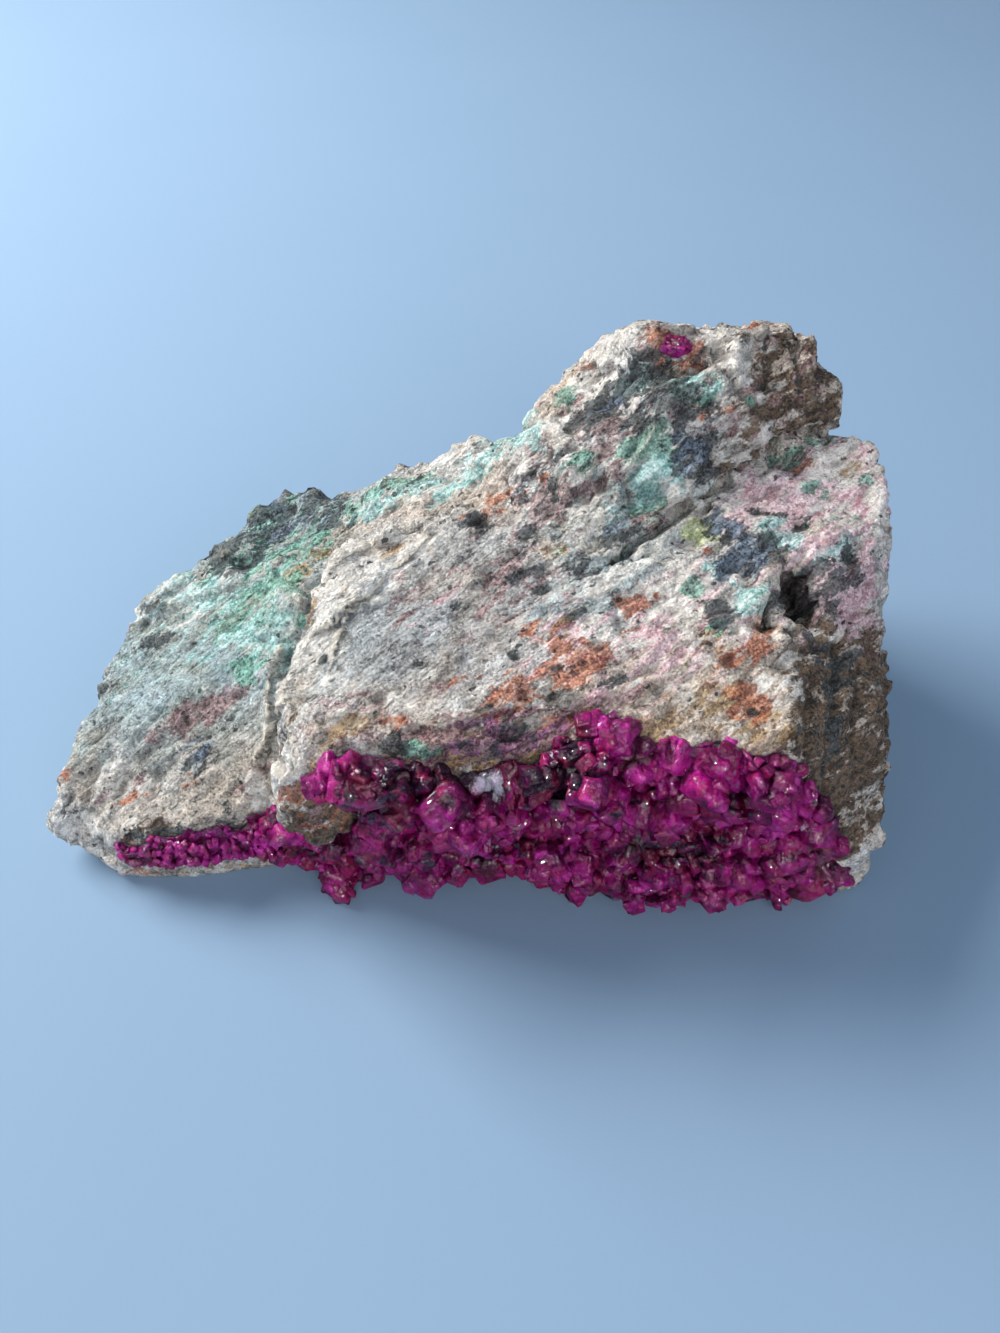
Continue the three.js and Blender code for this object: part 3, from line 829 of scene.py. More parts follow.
        Stain(394, 553, 1.6, 1.1, 20, 0.6), Stain(346, 584, 1, 2, 10, 0.65),
        Stain(850, 468, 1.7, 1.4, 20, 0.9), Stain(709, 641, 1.8, 1.2, 20, 0.8),
        Stain(727, 695, 2.4, 1.6, 20, 0.7), Stain(700, 712, 4.4, 1.6, 25, 0.6),
        Stain(310, 770, 1.9, 1.8), Stain(346, 724, 4, 1.2, 20, 0.45),
        Stain(565, 629, 1.8, 1.2, 20, 0.5), Stain(775, 618, 1.8, 1, 60, 0.8),
        Stain(645, 748, 2.6, 1.8, 40, 0.7), Stain(690, 740, 3.6, 1.4, 10, 0.6),
        Stain(760, 735, 3, 2, 10, 0.4), Stain(235, 872, 5, 1, 0, 0.7),
        Stain(700, 710, 12, 5, 5, 0.2), Stain(480, 770, 14, 2, 6, 0.55),
        Stain(360, 745, 5, 3, 10, 0.25),
    ],
    Mineral.MAUVE: [
        Stain(193, 717, 6, 1.7, 26, 0.9), Stain(228, 697, 4.4, 1.5, 26, 0.85),
        Stain(190, 740, 2, 1.2, 60, 0.6), Stain(509, 565, 3.2, 2, 35, 0.85),
        Stain(427, 590, 5, 2.6, 40, 0.35), Stain(513, 596, 4.4, 2.4, 35, 0.45),
        Stain(401, 580, 1, 1.8, 20, 0.5), Stain(606, 424, 4.6, 2.8, 60, 0.85),
        Stain(563, 411, 2, 1.4, 40, 0.7), Stain(628, 424, 2, 1.8, 30, 0.7),
        Stain(604, 470, 4, 3, 50, 0.5), Stain(545, 500, 6, 4, 40, 0.5),
        Stain(575, 575, 4, 3, 30, 0.5), Stain(400, 755, 4, 1.6, 10, 0.8),
        Stain(715, 389, 4.4, 2.2, 0, 0.5), Stain(672, 412, 3.6, 1.2, 10, 0.5),
        Stain(708, 421, 2.8, 1.3, 10, 0.75), Stain(684, 610, 2.2, 1.2, 40, 0.7),
        Stain(700, 627, 2.2, 1.1, 40, 0.6), Stain(795, 543, 1.6, 1, 60, 0.6),
        Stain(836, 500, 3.4, 1.1, 10, 0.45), Stain(120, 790, 4, 1.2, 25, 0.5),
        Stain(250, 780, 3, 1.4, 40, 0.5), Stain(335, 700, 2, 1.5, 40, 0.45),
        Stain(590, 700, 5, 1.6, 20, 0.5), Stain(425, 700, 3, 1.2, 30, 0.4),
        Stain(690, 420, 20, 14, 30, 0.4), Stain(620, 430, 9, 10, 30, 0.4),
        Stain(460, 600, 12, 10, 35, 0.18), Stain(620, 690, 14, 6, 20, 0.3),
        Stain(340, 720, 6, 3, 15, 0.5), Stain(450, 735, 9, 2.4, 12, 0.8),
        Stain(510, 742, 10, 3, 12, 0.9), Stain(470, 758, 9, 2.4, 6, 0.8),
        Stain(330, 815, 5, 4, 20, 0.4), Stain(870, 620, 4, 8, 0, 0.3),
    ],
    Mineral.PINK: [
        Stain(757, 496, 5, 2.2, 28), Stain(783, 478, 6.4, 2.5, 28), Stain(812, 460, 4.6, 2, 20),
        Stain(810, 500, 5.6, 2.2, 15), Stain(864, 500, 4, 2.6, 20, 0.9),
        Stain(868, 452, 2, 2, -30, 0.85), Stain(826, 582, 4.6, 3.6, 20, 0.7),
        Stain(846, 618, 3.2, 1.5, 20, 0.9), Stain(860, 590, 2, 4, 0, 0.9),
        Stain(430, 610, 4, 3, 40, 0.3), Stain(580, 645, 6, 3, 30, 0.35),
        Stain(650, 660, 7, 3, 30, 0.35), Stain(820, 500, 12, 6, 15, 0.7),
        Stain(840, 582, 8, 6, 0, 0.7), Stain(640, 640, 16, 9, 30, 0.3),
        Stain(700, 600, 9, 6, 30, 0.3),
    ],
    Mineral.WHITE: [
        Stain(284, 772, 4, 3, 20), Stain(272, 786, 2.8, 2.4, 60), Stain(262, 802, 1.5, 2.6, 20),
        Stain(276, 780, 4, 3.6, 20, 0.7), Stain(99, 838, 4.6, 1.5, -30),
        Stain(86, 852, 3, 1.2, -20, 0.8), Stain(112, 866, 3.6, 1, -8, 0.85),
        Stain(68, 832, 1.6, 1.4, 60, 0.6), Stain(329, 580, 1.6, 4, -15, 0.85),
        Stain(312, 640, 1.6, 5, -20, 0.6), Stain(390, 556, 7, 1.5, 30, 0.55),
        Stain(611, 583, 3, 2, 30, 0.75), Stain(425, 677, 1.3, 1.1, 20, 0.6),
        Stain(397, 703, 1, 1.8, 60, 0.5), Stain(602, 362, 4.2, 2.2, 42),
        Stain(555, 424, 2.2, 1.5, 30, 0.9), Stain(624, 397, 1.6, 1.3, 30, 0.9),
        Stain(730, 349, 2.6, 3, 20, 0.85), Stain(592, 513, 2, 2.6, 50, 0.7),
        Stain(660, 465, 2, 2, 40, 0.8), Stain(824, 465, 3, 1.8, 15, 0.95),
        # Painted highlight: the first stain on the next line paints the lit right edge of the hook
        # pale.
        Stain(881, 512, 1.2, 3.4, 10, 0.9), Stain(852, 516, 3, 1.2, 12, 0.6),
        Stain(772, 694, 2, 2.2, 40, 0.5), Stain(790, 668, 1.4, 3, 15, 0.5),
        Stain(828, 637, 2.6, 0.8, 5, 0.8), Stain(751, 630, 1.5, 1.4, 30, 0.7),
        Stain(665, 575, 5, 3, 30, 0.45), Stain(540, 720, 4, 1, 25, 0.35),
        Stain(470, 690, 6, 1.4, 28, 0.5), Stain(640, 700, 4, 1.6, 20, 0.4),
        Stain(640, 600, 14, 7, 30, 0.35), Stain(700, 650, 10, 8, 20, 0.3),
        Stain(310, 690, 3, 10, -18, 0.35), Stain(370, 580, 10, 3, 32, 0.4),
        Stain(180, 600, 12, 3, 22, 0.3), Stain(185, 622, 5, 2.4, 25, 0.5),
        Stain(215, 580, 4, 2, 25, 0.45), Stain(850, 470, 8, 4, 10, 0.35),
        Stain(592, 368, 3.6, 3.2, 30, 0.9), Stain(728, 356, 2.6, 4, 10, 0.9),
        Stain(658, 462, 4.2, 3), Stain(672, 480, 2.4, 3.4, 20, 0.9), Stain(625, 398, 1.8, 1.7, 40),
        Stain(642, 374, 2, 1.1, 10, 0.7), Stain(650, 425, 18, 12, 30, 0.42),
        Stain(800, 480, 12, 6, 15, 0.35),
    ],
    Mineral.BROWN: [
        Stain(480, 738, 9, 2.6, 12), Stain(545, 728, 5, 2, 18, 0.5), Stain(425, 742, 4, 2, 5, 0.9),
        Stain(802, 355, 4, 4.6, 0, 0.5), Stain(757, 340, 3.4, 2.4, 10, 0.5),
        Stain(780, 410, 6, 3.4, 35, 0.6), Stain(822, 395, 4, 5, 20, 0.7),
        Stain(800, 375, 7, 7, 20, 0.4), Stain(782, 414, 5, 2.6, 35, 0.7),
        Stain(738, 440, 5, 2.2, 35, 0.7), Stain(708, 480, 4, 1, 38, 0.35),
        Stain(752, 446, 5, 2.4, 35, 0.9), Stain(790, 432, 4, 1.2, 25, 0.9),
        Stain(670, 512, 3, 0.8, 35, 0.3), Stain(765, 385, 3.6, 3, 20, 0.45),
        Stain(322, 815, 6.5, 5.5, 20), Stain(300, 718, 3, 1.6, 60, 0.4),
        Stain(210, 832, 7, 1.2, 8, 0.7), Stain(150, 830, 4, 1.2, 8, 0.6),
        Stain(822, 600, 3, 2, 20, 0.4), Stain(835, 578, 5, 3, 20, 0.5),
        Stain(852, 664, 4, 3.4, 0, 0.9), Stain(806, 712, 3, 5, 0), Stain(640, 580, 3, 1, 30, 0.3),
        Stain(590, 600, 3, 1.2, 30, 0.35), Stain(580, 622, 3.6, 1.4, 30, 0.35),
        Stain(850, 690, 8, 10, 0), Stain(850, 740, 8, 14, 0), Stain(835, 830, 6, 8, 0),
        Stain(865, 760, 6, 11, 0), Stain(840, 800, 8, 9, 0, 0.95), Stain(880, 700, 4, 12, 0),
        Stain(810, 780, 4, 8, 0, 0.7), Stain(700, 450, 14, 5, 35, 0.35),
        Stain(330, 820, 5, 4, 20, 0.9), Stain(284, 489, 2, 1, 10, 0.8),
        Stain(329, 500, 1, 2.2, 10, 0.5), Stain(326, 797, 2.4, 2.4, 20, 0.9),
        Stain(322, 838, 5, 2.5, 0), Stain(300, 812, 2.6, 1.6, 20, 0.8),
        Stain(500, 755, 12, 2.6, 8, 0.7), Stain(150, 640, 6, 2, 35, 0.4),
    ],
    Mineral.PURPLE: [
        Stain(496, 716, 6, 0.8, 12, 0.85), Stain(518, 740, 8, 1.6, 12, 0.7),
        Stain(430, 764, 5, 1, 5, 0.8), Stain(590, 745, 4, 1.4, 20, 0.8),
        Stain(625, 728, 3.4, 1.4, 20, 0.6), Stain(700, 752, 6, 1.2, 0, 0.6),
        Stain(180, 845, 7, 0.8, 8, 0.5), Stain(760, 752, 3, 1.4, -20, 0.5),
    ],
    Mineral.COOL: [
        Stain(180, 650, 22, 16, 20, 0.8), Stain(600, 590, 9, 5, 30, 0.7),
        Stain(290, 520, 12, 6, 10, 0.8), Stain(640, 460, 12, 9, 40, 0.8),
        Stain(400, 620, 12, 9, 30, 0.3),
    ],
    Mineral.GREY: [
        Stain(400, 640, 11, 11, 40), Stain(470, 600, 11, 11, 40, 0.8),
        Stain(190, 720, 12, 9, 25, 0.3),
    ],
    Mineral.CREAM: [
        Stain(250, 790, 8, 8, 20, 0.6), Stain(700, 700, 16, 8, 10, 0.6),
        Stain(620, 690, 10, 5, 20, 0.4), Stain(150, 800, 12, 9, 10, 0.35),
        Stain(800, 370, 12, 9, 0, 0.7), Stain(560, 380, 5, 6, 0, 0.7),
        Stain(850, 720, 12, 16, 0, 0.6),
    ],
}


# ---- relief on the rock


@dataclass(frozen=True)
class Ledge:
    """A broken edge along pixels: the high side lies to the right of the way it runs.

    Its height and how far it fades on the high side are in millimetres, and the last
    number says how strongly its edge is painted: a pale painted highlight on the high side,
    partly wear, and a dark painted shadow along the low side.
    """

    route: tuple[Pixel, ...]
    height: float
    run: float
    # How strongly the edge takes its painted highlight and painted shadow.
    crest: float = 0.5


@dataclass(frozen=True)
class Groove:
    """An open crack along pixels, with its depth and half width in millimetres.

    With a negative depth it is a raised rib.
    """

    route: tuple[Pixel, ...]
    depth: float
    width: float


@dataclass(frozen=True)
class Pit:
    """A small hole at a pixel, with its radius and depth in millimetres."""

    x: float
    y: float
    radius: float
    depth: float


@dataclass(frozen=True)
class Swelling:
    """A broad rise, or a hollow where its height is negative, in millimetres."""

    x: float
    y: float
    radius: float
    height: float


SWELLINGS = (
    Swelling(272, 510, 4.2, 2.3), Swelling(315, 508, 3.8, 2.2), Swelling(293, 516, 1.6, -0.9),
    Swelling(340, 522, 2.4, -0.9), Swelling(238, 552, 3, 1), Swelling(212, 566, 2.5, 0.8),
    Swelling(530, 400, 7, -1.8), Swelling(634, 334, 5, 0.9), Swelling(702, 336, 4, -1.8),
    Swelling(728, 352, 4, 0.9), Swelling(775, 325, 6, -1.8), Swelling(800, 600, 3.5, -0.8),
    Swelling(814, 624, 2.6, 1.3), Swelling(885, 760, 12, -1.2), Swelling(60, 790, 6, -1),
)


@dataclass(frozen=True)
class Flat:
    """A plane face broken at a pixel: how far it faces east, north and up, and its size."""

    x: float
    y: float
    facing: Triple
    reach: float
    depth: float = 0.0


FLATS = (
    Flat(828, 352, (1, -0.15, 0.1), 4.6, 2.2), Flat(850, 393, (1, -0.2, 0), 3.6, 1.2),
    Flat(842, 426, (1, -0.2, 0), 2.8, 1.2), Flat(782, 350, (0.1, -0.75, 0.65), 4.5, 1.2),
    Flat(790, 392, (0.2, -0.9, 0.4), 4.5, 1), Flat(728, 360, (-0.35, -0.7, 0.6), 3.5, 0.9),
    Flat(632, 340, (-0.3, -0.5, 0.8), 3.8, 1), Flat(596, 372, (-0.5, -0.35, 0.8), 4.2, 1),
    Flat(660, 385, (0.1, -0.5, 0.85), 4, 0.9), Flat(612, 420, (-0.25, -0.3, 0.9), 4.5, 1),
    Flat(650, 440, (0.15, -0.6, 0.8), 4, 0.9), Flat(662, 480, (0.1, -0.45, 0.9), 4.5, 0.9),
    Flat(610, 480, (-0.2, -0.4, 0.9), 5, 0.9), Flat(730, 410, (0.2, -0.75, 0.6), 5, 1),
    Flat(780, 425, (0.35, -0.85, 0.35), 3.5, 0.7), Flat(560, 450, (-0.3, -0.3, 0.9), 5, 0.8),
    Flat(870, 500, (0.5, -0.5, 0.7), 4, 0.6), Flat(284, 774, (-0.2, -0.6, 0.8), 2.6, 0.5),
    Flat(268, 792, (-0.5, -0.8, 0.3), 2.4, 0.5),
)

LEDGES = (
    Ledge(
        ((424, 540), (408, 562), (388, 577), (368, 597), (352, 618), (338, 640), (334, 672)),
        0.7, 6, 1,
    ),
    Ledge(((372, 548), (336, 567), (320, 583), (309, 606)), 0.9, 6, 1),
    Ledge(((350, 618), (318, 634), (301, 664), (286, 700), (277, 722), (268, 752)), 0.7, 4, 1),
    Ledge(((300, 616), (286, 646), (280, 672), (273, 706), (270, 736), (262, 760)), 0.8, 4, 0.9),
    Ledge(((294, 696), (297, 724), (298, 757)), 0.4, 2, 0.5),
    Ledge(((301, 704), (312, 716), (326, 737)), 0.3, 2, 0.4),
    Ledge(
        (
            (545, 702), (510, 706), (477, 715), (444, 729),
            (402, 731), (384, 716), (364, 715), (338, 719),
        ),
        0.8, 5, 0.4,
    ),
    Ledge(((466, 655), (440, 672), (428, 690), (404, 706)), 0.35, 3, 0.2),
    Ledge(((610, 640), (560, 668), (530, 690)), 0.35, 3, 0.2),
    Ledge(((300, 560), (262, 574), (228, 590), (196, 600)), 0.6, 4, 0.3),
    Ledge(((290, 596), (250, 612), (214, 634), (182, 648)), 0.5, 4, 0.2),
    Ledge(((226, 560), (196, 578), (160, 600), (140, 628)), 0.7, 4, 0.3),
    Ledge(((250, 690), (205, 706), (165, 735)), 0.4, 3, 0),
    Ledge(((560, 352), (578, 372), (566, 392), (548, 404)), 0.7, 4, 0.5),
    Ledge(((722, 336), (712, 352), (716, 372), (726, 384)), 0.8, 4, 0.6),
    Ledge(((600, 452), (590, 486), (606, 520)), 0.6, 4, 0.3),
    Ledge(((652, 432), (632, 470), (626, 520)), 0.8, 4, 0.4),
)

GROOVES = (
    Groove(((281, 668), (275, 690), (272, 728), (270, 764)), -0.9, 0.9),
    Groove(((640, 548), (665, 531), (690, 512), (712, 494)), -0.9, 0.9),
    Groove(
        (
            (612, 562), (640, 542), (672, 522), (702, 497),
            (735, 474), (770, 454), (806, 438), (840, 432),
        ),
        2.1, 0.6,
    ),
    Groove(((738, 510), (756, 513), (775, 514), (793, 519), (814, 526)), 0.8, 0.5),
    Groove(((545, 590), (575, 575), (608, 563)), 0.5, 0.6),
    Groove(((575, 622), (560, 632), (540, 646)), 0.4, 0.4),
    Groove(((460, 744), (500, 736), (545, 722)), 0.6, 0.6),
    Groove(((440, 752), (490, 748), (530, 738)), 0.5, 0.5),
    Groove(((470, 760), (520, 752), (560, 736)), 0.5, 0.5),
    Groove(((838, 640), (840, 700), (832, 760), (826, 820)), 1, 0.8),
    Groove(((818, 645), (812, 700), (806, 760)), 0.6, 0.6),
    Groove(((858, 660), (866, 720), (862, 790)), 0.8, 0.7),
    Groove(((802, 340), (804, 372), (800, 404)), 1, 0.6),
    Groove(((776, 336), (776, 360), (770, 384)), 0.7, 0.5),
    Groove(((818, 350), (820, 380), (818, 410)), 0.8, 0.5),
    Groove(((752, 340), (750, 372), (744, 400)), 0.5, 0.5),
    Groove(((758, 384), (788, 387), (816, 384)), 0.7, 0.5),
    Groove(((767, 623), (778, 611), (790, 597)), 2.2, 1.3),
    Groove(((640, 362), (612, 386), (590, 402)), 0.8, 0.9),
    Groove(((648, 366), (690, 372), (712, 392)), 0.7, 0.9),
    Groove(((268, 748), (276, 760), (286, 764)), 0.8, 0.6),
    Groove(((100, 876), (82, 856), (70, 838)), 0.5, 0.6),
)

PITS = (
    Pit(480, 522, 1.4, 1.2), Pit(325, 661, 0.6, 0.8), Pit(422, 665, 0.5, 0.6),
    Pit(515, 657, 0.5, 0.6), Pit(381, 701, 0.9, 0.9), Pit(553, 700, 1, 0.8),
    Pit(753, 712, 0.9, 0.8), Pit(730, 660, 1.1, 0.9), Pit(803, 527, 0.8, 0.8),
    Pit(853, 556, 1.2, 0.8), Pit(777, 614, 1.7, 1), Pit(792, 580, 1.6, 0.9),
    Pit(812, 580, 1.5, 0.9), Pit(213, 556, 1.4, 0.9), Pit(246, 563, 1.6, 1), Pit(262, 502, 1.8, 1),
    Pit(300, 500, 1.6, 0.9), Pit(326, 498, 1.6, 1), Pit(690, 455, 1.5, 0.8),
)

CRAGS = (
    Stain(650, 420, 26, 20), Stain(225, 560, 6, 4, 20, 0.5), Stain(120, 800, 10, 14, 0, 0.35),
    Stain(500, 735, 16, 3.5, 12, 0.7), Stain(780, 560, 9, 9, 0, 0.4), Stain(85, 850, 5, 5, 0, 0.8),
    Stain(420, 490, 14, 4, 18, 0.6),
)

CALM = (
    Stain(295, 503, 8, 6, 10), Stain(284, 491, 6, 6, 0), Stain(322, 494, 6, 6, 0),
    Stain(250, 512, 5, 4, 0, 0.8), Stain(400, 640, 13, 12, 40), Stain(480, 620, 12, 12, 40, 0.8),
    Stain(320, 690, 5, 9, -20, 0.6), Stain(620, 600, 14, 9, 30, 0.7),
    Stain(700, 660, 12, 9, 20, 0.4), Stain(180, 680, 14, 10, 25, 0.5),
)

COLUMNS = (
    Stain(790, 375, 8, 9, 0), Stain(740, 355, 3, 4, 0, 0.5),
)


@dataclass
class RockSkin:
    """The rock's points and normals in millimetres, and how they are measured."""

    points: Array
    normals: Array

    @classmethod
    def of(cls, mesh: bpy.types.Mesh) -> "RockSkin":
        """Reads a mesh.

        Args:
            mesh: It is in metres.

        Returns:
            Its points and normals, in millimetres.
        """
        count = len(mesh.vertices)
        points = np.empty(count * 3)
        normals = np.empty(count * 3)
        mesh.vertices.foreach_get("co", points)
        mesh.vertex_normals.foreach_get("vector", normals)
        return cls(points.reshape(-1, 3) / MM, normals.reshape(-1, 3))

    @staticmethod
    def draped(route: Sequence[Pixel], caster: Caster, step: float = 4.0) -> list[Spot]:
        """Lays a route on the surface, in short steps.

        Args:
            route: The pixels at its corners.
            caster: Finds the places.
            step: The length of a step in pixels.

        Returns:
            The places, in order, without the last corner.
        """
        spots = []
        for (x0, y0), (x1, y1) in zip(route, route[1:]):
            count = max(2, int(math.hypot(x1 - x0, y1 - y0) / step))
            for i in range(count):
                share = i / count
                spots.append(caster.spot((x0 + share * (x1 - x0), y0 + share * (y1 - y0))))
        return spots

    def patch(self, stain: Stain, caster: Caster, wander: Array) -> Array:
        """Lays one stain.

        Args:
            stain: What is laid.
            caster: Finds its place.
            wander: How far the edge strays at each point, in radii.

        Returns:
            How much of it each point has, from 0 to its strength.
        """
        spot = caster.spot((stain.x, stain.y))
        main = caster.direction(spot, stain.turn)
        side = unit(np.cross(spot.normal, main))
        offset = self.points - spot.at
        through = np.sum(offset * spot.normal, 1) / max(stain.length, stain.width, 2.5)
        r = np.sqrt(
            (np.sum(offset * main, 1) / stain.length) ** 2
            + (np.sum(offset * side, 1) / stain.width) ** 2
            + through**2
        )
        return stain.strength * eased(1.75, 0.35, r + wander)

    def patches(self, stains: Sequence[Stain], caster: Caster, wander: Array) -> Array:
        """Lays many stains over one another.

        Args:
            stains: What is laid, with strengths of 1 at most.
            caster: Finds their places.
            wander: How far their edges stray at each point, in radii.

        Returns:
            How much of them each point has, from 0 to 1.
        """
        clear = np.ones(len(self.points))
        for stain in stains:
            clear *= 1.0 - self.patch(stain, caster, wander)
        return 1.0 - clear

    def near(self, spots: list[Spot], reach: float) -> tuple[Array, Array, Array]:
        """Measures the points around a route.

        Args:
            spots: The route on the surface.
            reach: How far away a point may lie.

        Returns:
            The indices of the points, their distance, and their signed distance to the
            right of the route.
        """
        path = np.array([s.at for s in spots])
        path_normals = np.array([s.normal for s in spots])
        heading = unit(np.gradient(path, axis=0))
        rightward = unit(np.cross(heading, path_normals))
        low = path.min(0) - reach
        high = path.max(0) + reach
        chosen = np.flatnonzero(np.all((self.points > low) & (self.points < high), axis=1))
        if not len(chosen):
            return chosen, np.zeros(0), np.zeros(0)
        away = np.linalg.norm(self.points[chosen, None, :] - path[None, :, :], axis=2)
        closest = away.argmin(1)
        distance = away[np.arange(len(chosen)), closest]
        offset = self.points[chosen] - path[closest]
        aside = np.sum(offset * rightward[closest], axis=1)
        fair = np.sum(self.normals[chosen] * path_normals[closest], axis=1) > 0.1
        keep = (distance < reach) & fair
        return chosen[keep], distance[keep], aside[keep]


@dataclass
class Bedding:
    """The upright laminae of the rock, and the grain of its broken surface."""

    strike_deg: float = STRIKE_DEG
    saw_pitch: float = 3.6
    saw_height: float = 0.75
    ribs: float = 0.35
    chips: float = 0.3
    small_chips: float = 0.16
    lumps: float = 0.3
    sugar: float = 0.12
    crag_chips: float = 0.55
    crag_blocks: float = 0.9
    columns: float = 0.5
    warp_size: float = 14.0
    patch_size: float = 11.0
    lump_size: float = 6.5
    sugar_size: float = 1.4
    rib_size: Triple = (6.0, 1.5, 7.0)
    chip_size: Triple = (4.2, 2.4, 4.0)
    small_chip_size: Triple = (2.0, 1.3, 2.0)
    crag_chip_size: Triple = (5.0, 2.8, 4.5)
    crag_block_size: Triple = (10.0, 6.0, 9.0)
    column_size: Triple = (2.4, 12.0, 16.0)
    flute_size: Triple = (9.0, 1.7, 12.0)

    def frame(self, points: Array) -> Array:
        """Turns points to the laminae.

        Args:
            points: Places in millimetres.

        Returns:
            The places along the strike, across it, and upwards.
        """
        turn = math.radians(self.strike_deg)
        along = points[:, 0] * math.cos(turn) + points[:, 1] * math.sin(turn)
        across = -points[:, 0] * math.sin(turn) + points[:, 1] * math.cos(turn)
        return np.stack([along, across, points[:, 2]], 1)

    def relief(
        self, skin: RockSkin, calm: Array, crags: Array, columns: Array
    ) -> Array:
        """How far the broken surface stands out.

        Args:
            skin: The rock's points.
            calm: Where the rock is even, from 0 to 1.
            crags: Where the rock is craggy, from 0 to 1.
            columns: Where upright ribs cross the surface, from 0 to 1.

        Returns:
            The relief in millimetres.
        """
        points = skin.points
        laid = self.frame(points)
        warp = Noise(11).cloud(points / self.warp_size, 2)
        turn = laid[:, 1] / self.saw_pitch + 1.1 * warp + 0.3 * Noise(12).smooth(points / 3.0)
        share = turn - np.floor(turn)
        saw = share * eased(1.0, 0.88, share) - 0.4
        patch = eased(-0.35, 0.4, Noise(13).smooth(points / self.patch_size))
        ribs = 0.35 - np.abs(Noise(14).cloud(laid / self.rib_size, 3))
        chips = Noise(15).chips(laid / self.chip_size, 1.3)
        small = Noise(18).chips(laid / self.small_chip_size, 1.2)
        lumps = Noise(16).cloud(points / self.lump_size, 3)
        sugar = Noise(17).cloud(points / self.sugar_size, 3)
        whole = (1.0 - 0.6 * calm) * (
            self.ribs * ribs
            + self.chips * chips
            + self.small_chips * small
            + self.sugar * sugar
            + self.lumps * lumps
            + self.saw_height * patch * saw
        )
        crag_chips = Noise(21).chips(laid / self.crag_chip_size, 1.6)
        crag_blocks = Noise(22).chips(laid / self.crag_block_size, 2.0)
        whole += crags * (self.crag_chips * crag_chips + self.crag_blocks * crag_blocks)
        upright = np.abs(Noise(23).cloud(points / self.column_size, 2))
        whole += columns * self.columns * (0.3 - upright) * 1.6
        eastward = eased(0.35, 0.75, np.abs(skin.normals[:, 0]))
        flutes = np.abs(Noise(24).cloud(points / self.flute_size, 3))
        whole += eastward * self.columns * (0.3 - flutes) * 1.5
        return whole


@dataclass
class Chisel:
    """Knocks flat faces into the rock, mostly along its joints."""

    strike_deg: float = STRIKE_DEG
    blows: int = 1500
    reach: tuple[float, float] = (1.8, 6.5)
    even_bite: float = 0.03
    crag_bite: float = 0.12
    seed: int = 61

    def joints(self) -> Array:
        """The ways that the rock parts.

        Returns:
            Directions along and across the strike, and up, one in each row.
        """
        turn = math.radians(self.strike_deg)
        along = np.array([math.cos(turn), math.sin(turn), 0.0])
        across = np.array([-math.sin(turn), math.cos(turn), 0.0])
        return np.array([along, -along, across, -across, [0.0, 0.0, 1.0]])

    @staticmethod
    def shave(
        points: Array, at: Array, facing: Array, reach: float, bite: float
    ) -> None:
        """Takes the top off whatever stands out near a place, in place.

        Args:
            points: The rock's points.
            at: The middle of the face.
            facing: Its outward normal.
            reach: How far from the middle it goes.
            bite: How deep below the highest point it lies.
        """
        chosen = np.flatnonzero(np.abs(points[:, 0] - at[0]) < reach)
        offset = points[chosen] - at
        away = np.linalg.norm(offset, axis=1) / reach
        keep = away < 1.0
        chosen, offset, away = chosen[keep], offset[keep], away[keep]
        height = offset @ facing
        fade = eased(1.0, 0.7, away)
        level = float(np.max(np.where(away < 0.7, height, -reach))) - bite
        points[chosen] -= (np.maximum(height - level, 0.0) * fade)[:, None] * facing

    def carve(self, skin: RockSkin, crags: Array, caster: Caster) -> Array:
        """Chips the whole rock.

        Args:
            skin: The rock's points and normals.
            crags: Where it is craggy, from 0 to 1.
            caster: Finds the faces that have a place of their own.

        Returns:
            Where the points end up, in millimetres.
        """
        points = skin.points.copy()
        for flat in FLATS:
            spot = caster.spot((flat.x, flat.y))
            self.shave(points, spot.at, unit(np.array(flat.facing)), flat.reach, flat.depth)
        rng = np.random.default_rng(self.seed)
        joints = self.joints()
        for pick in rng.integers(0, len(points), self.blows):
            reach = self.reach[0] + (self.reach[1] - self.reach[0]) * rng.random() ** 2
            choice = joints @ skin.normals[pick] + 0.15 * rng.normal(size=len(joints))
            joint = joints[int(np.argmax(choice))]
            facing = unit(skin.normals[pick] + 0.7 * joint + 0.15 * rng.normal(size=3))
            bite = reach * (self.even_bite + self.crag_bite * crags[pick]) * (0.5 + rng.random())
            self.shave(points, points[pick], facing, reach, bite)
        return points


# ---- finishes


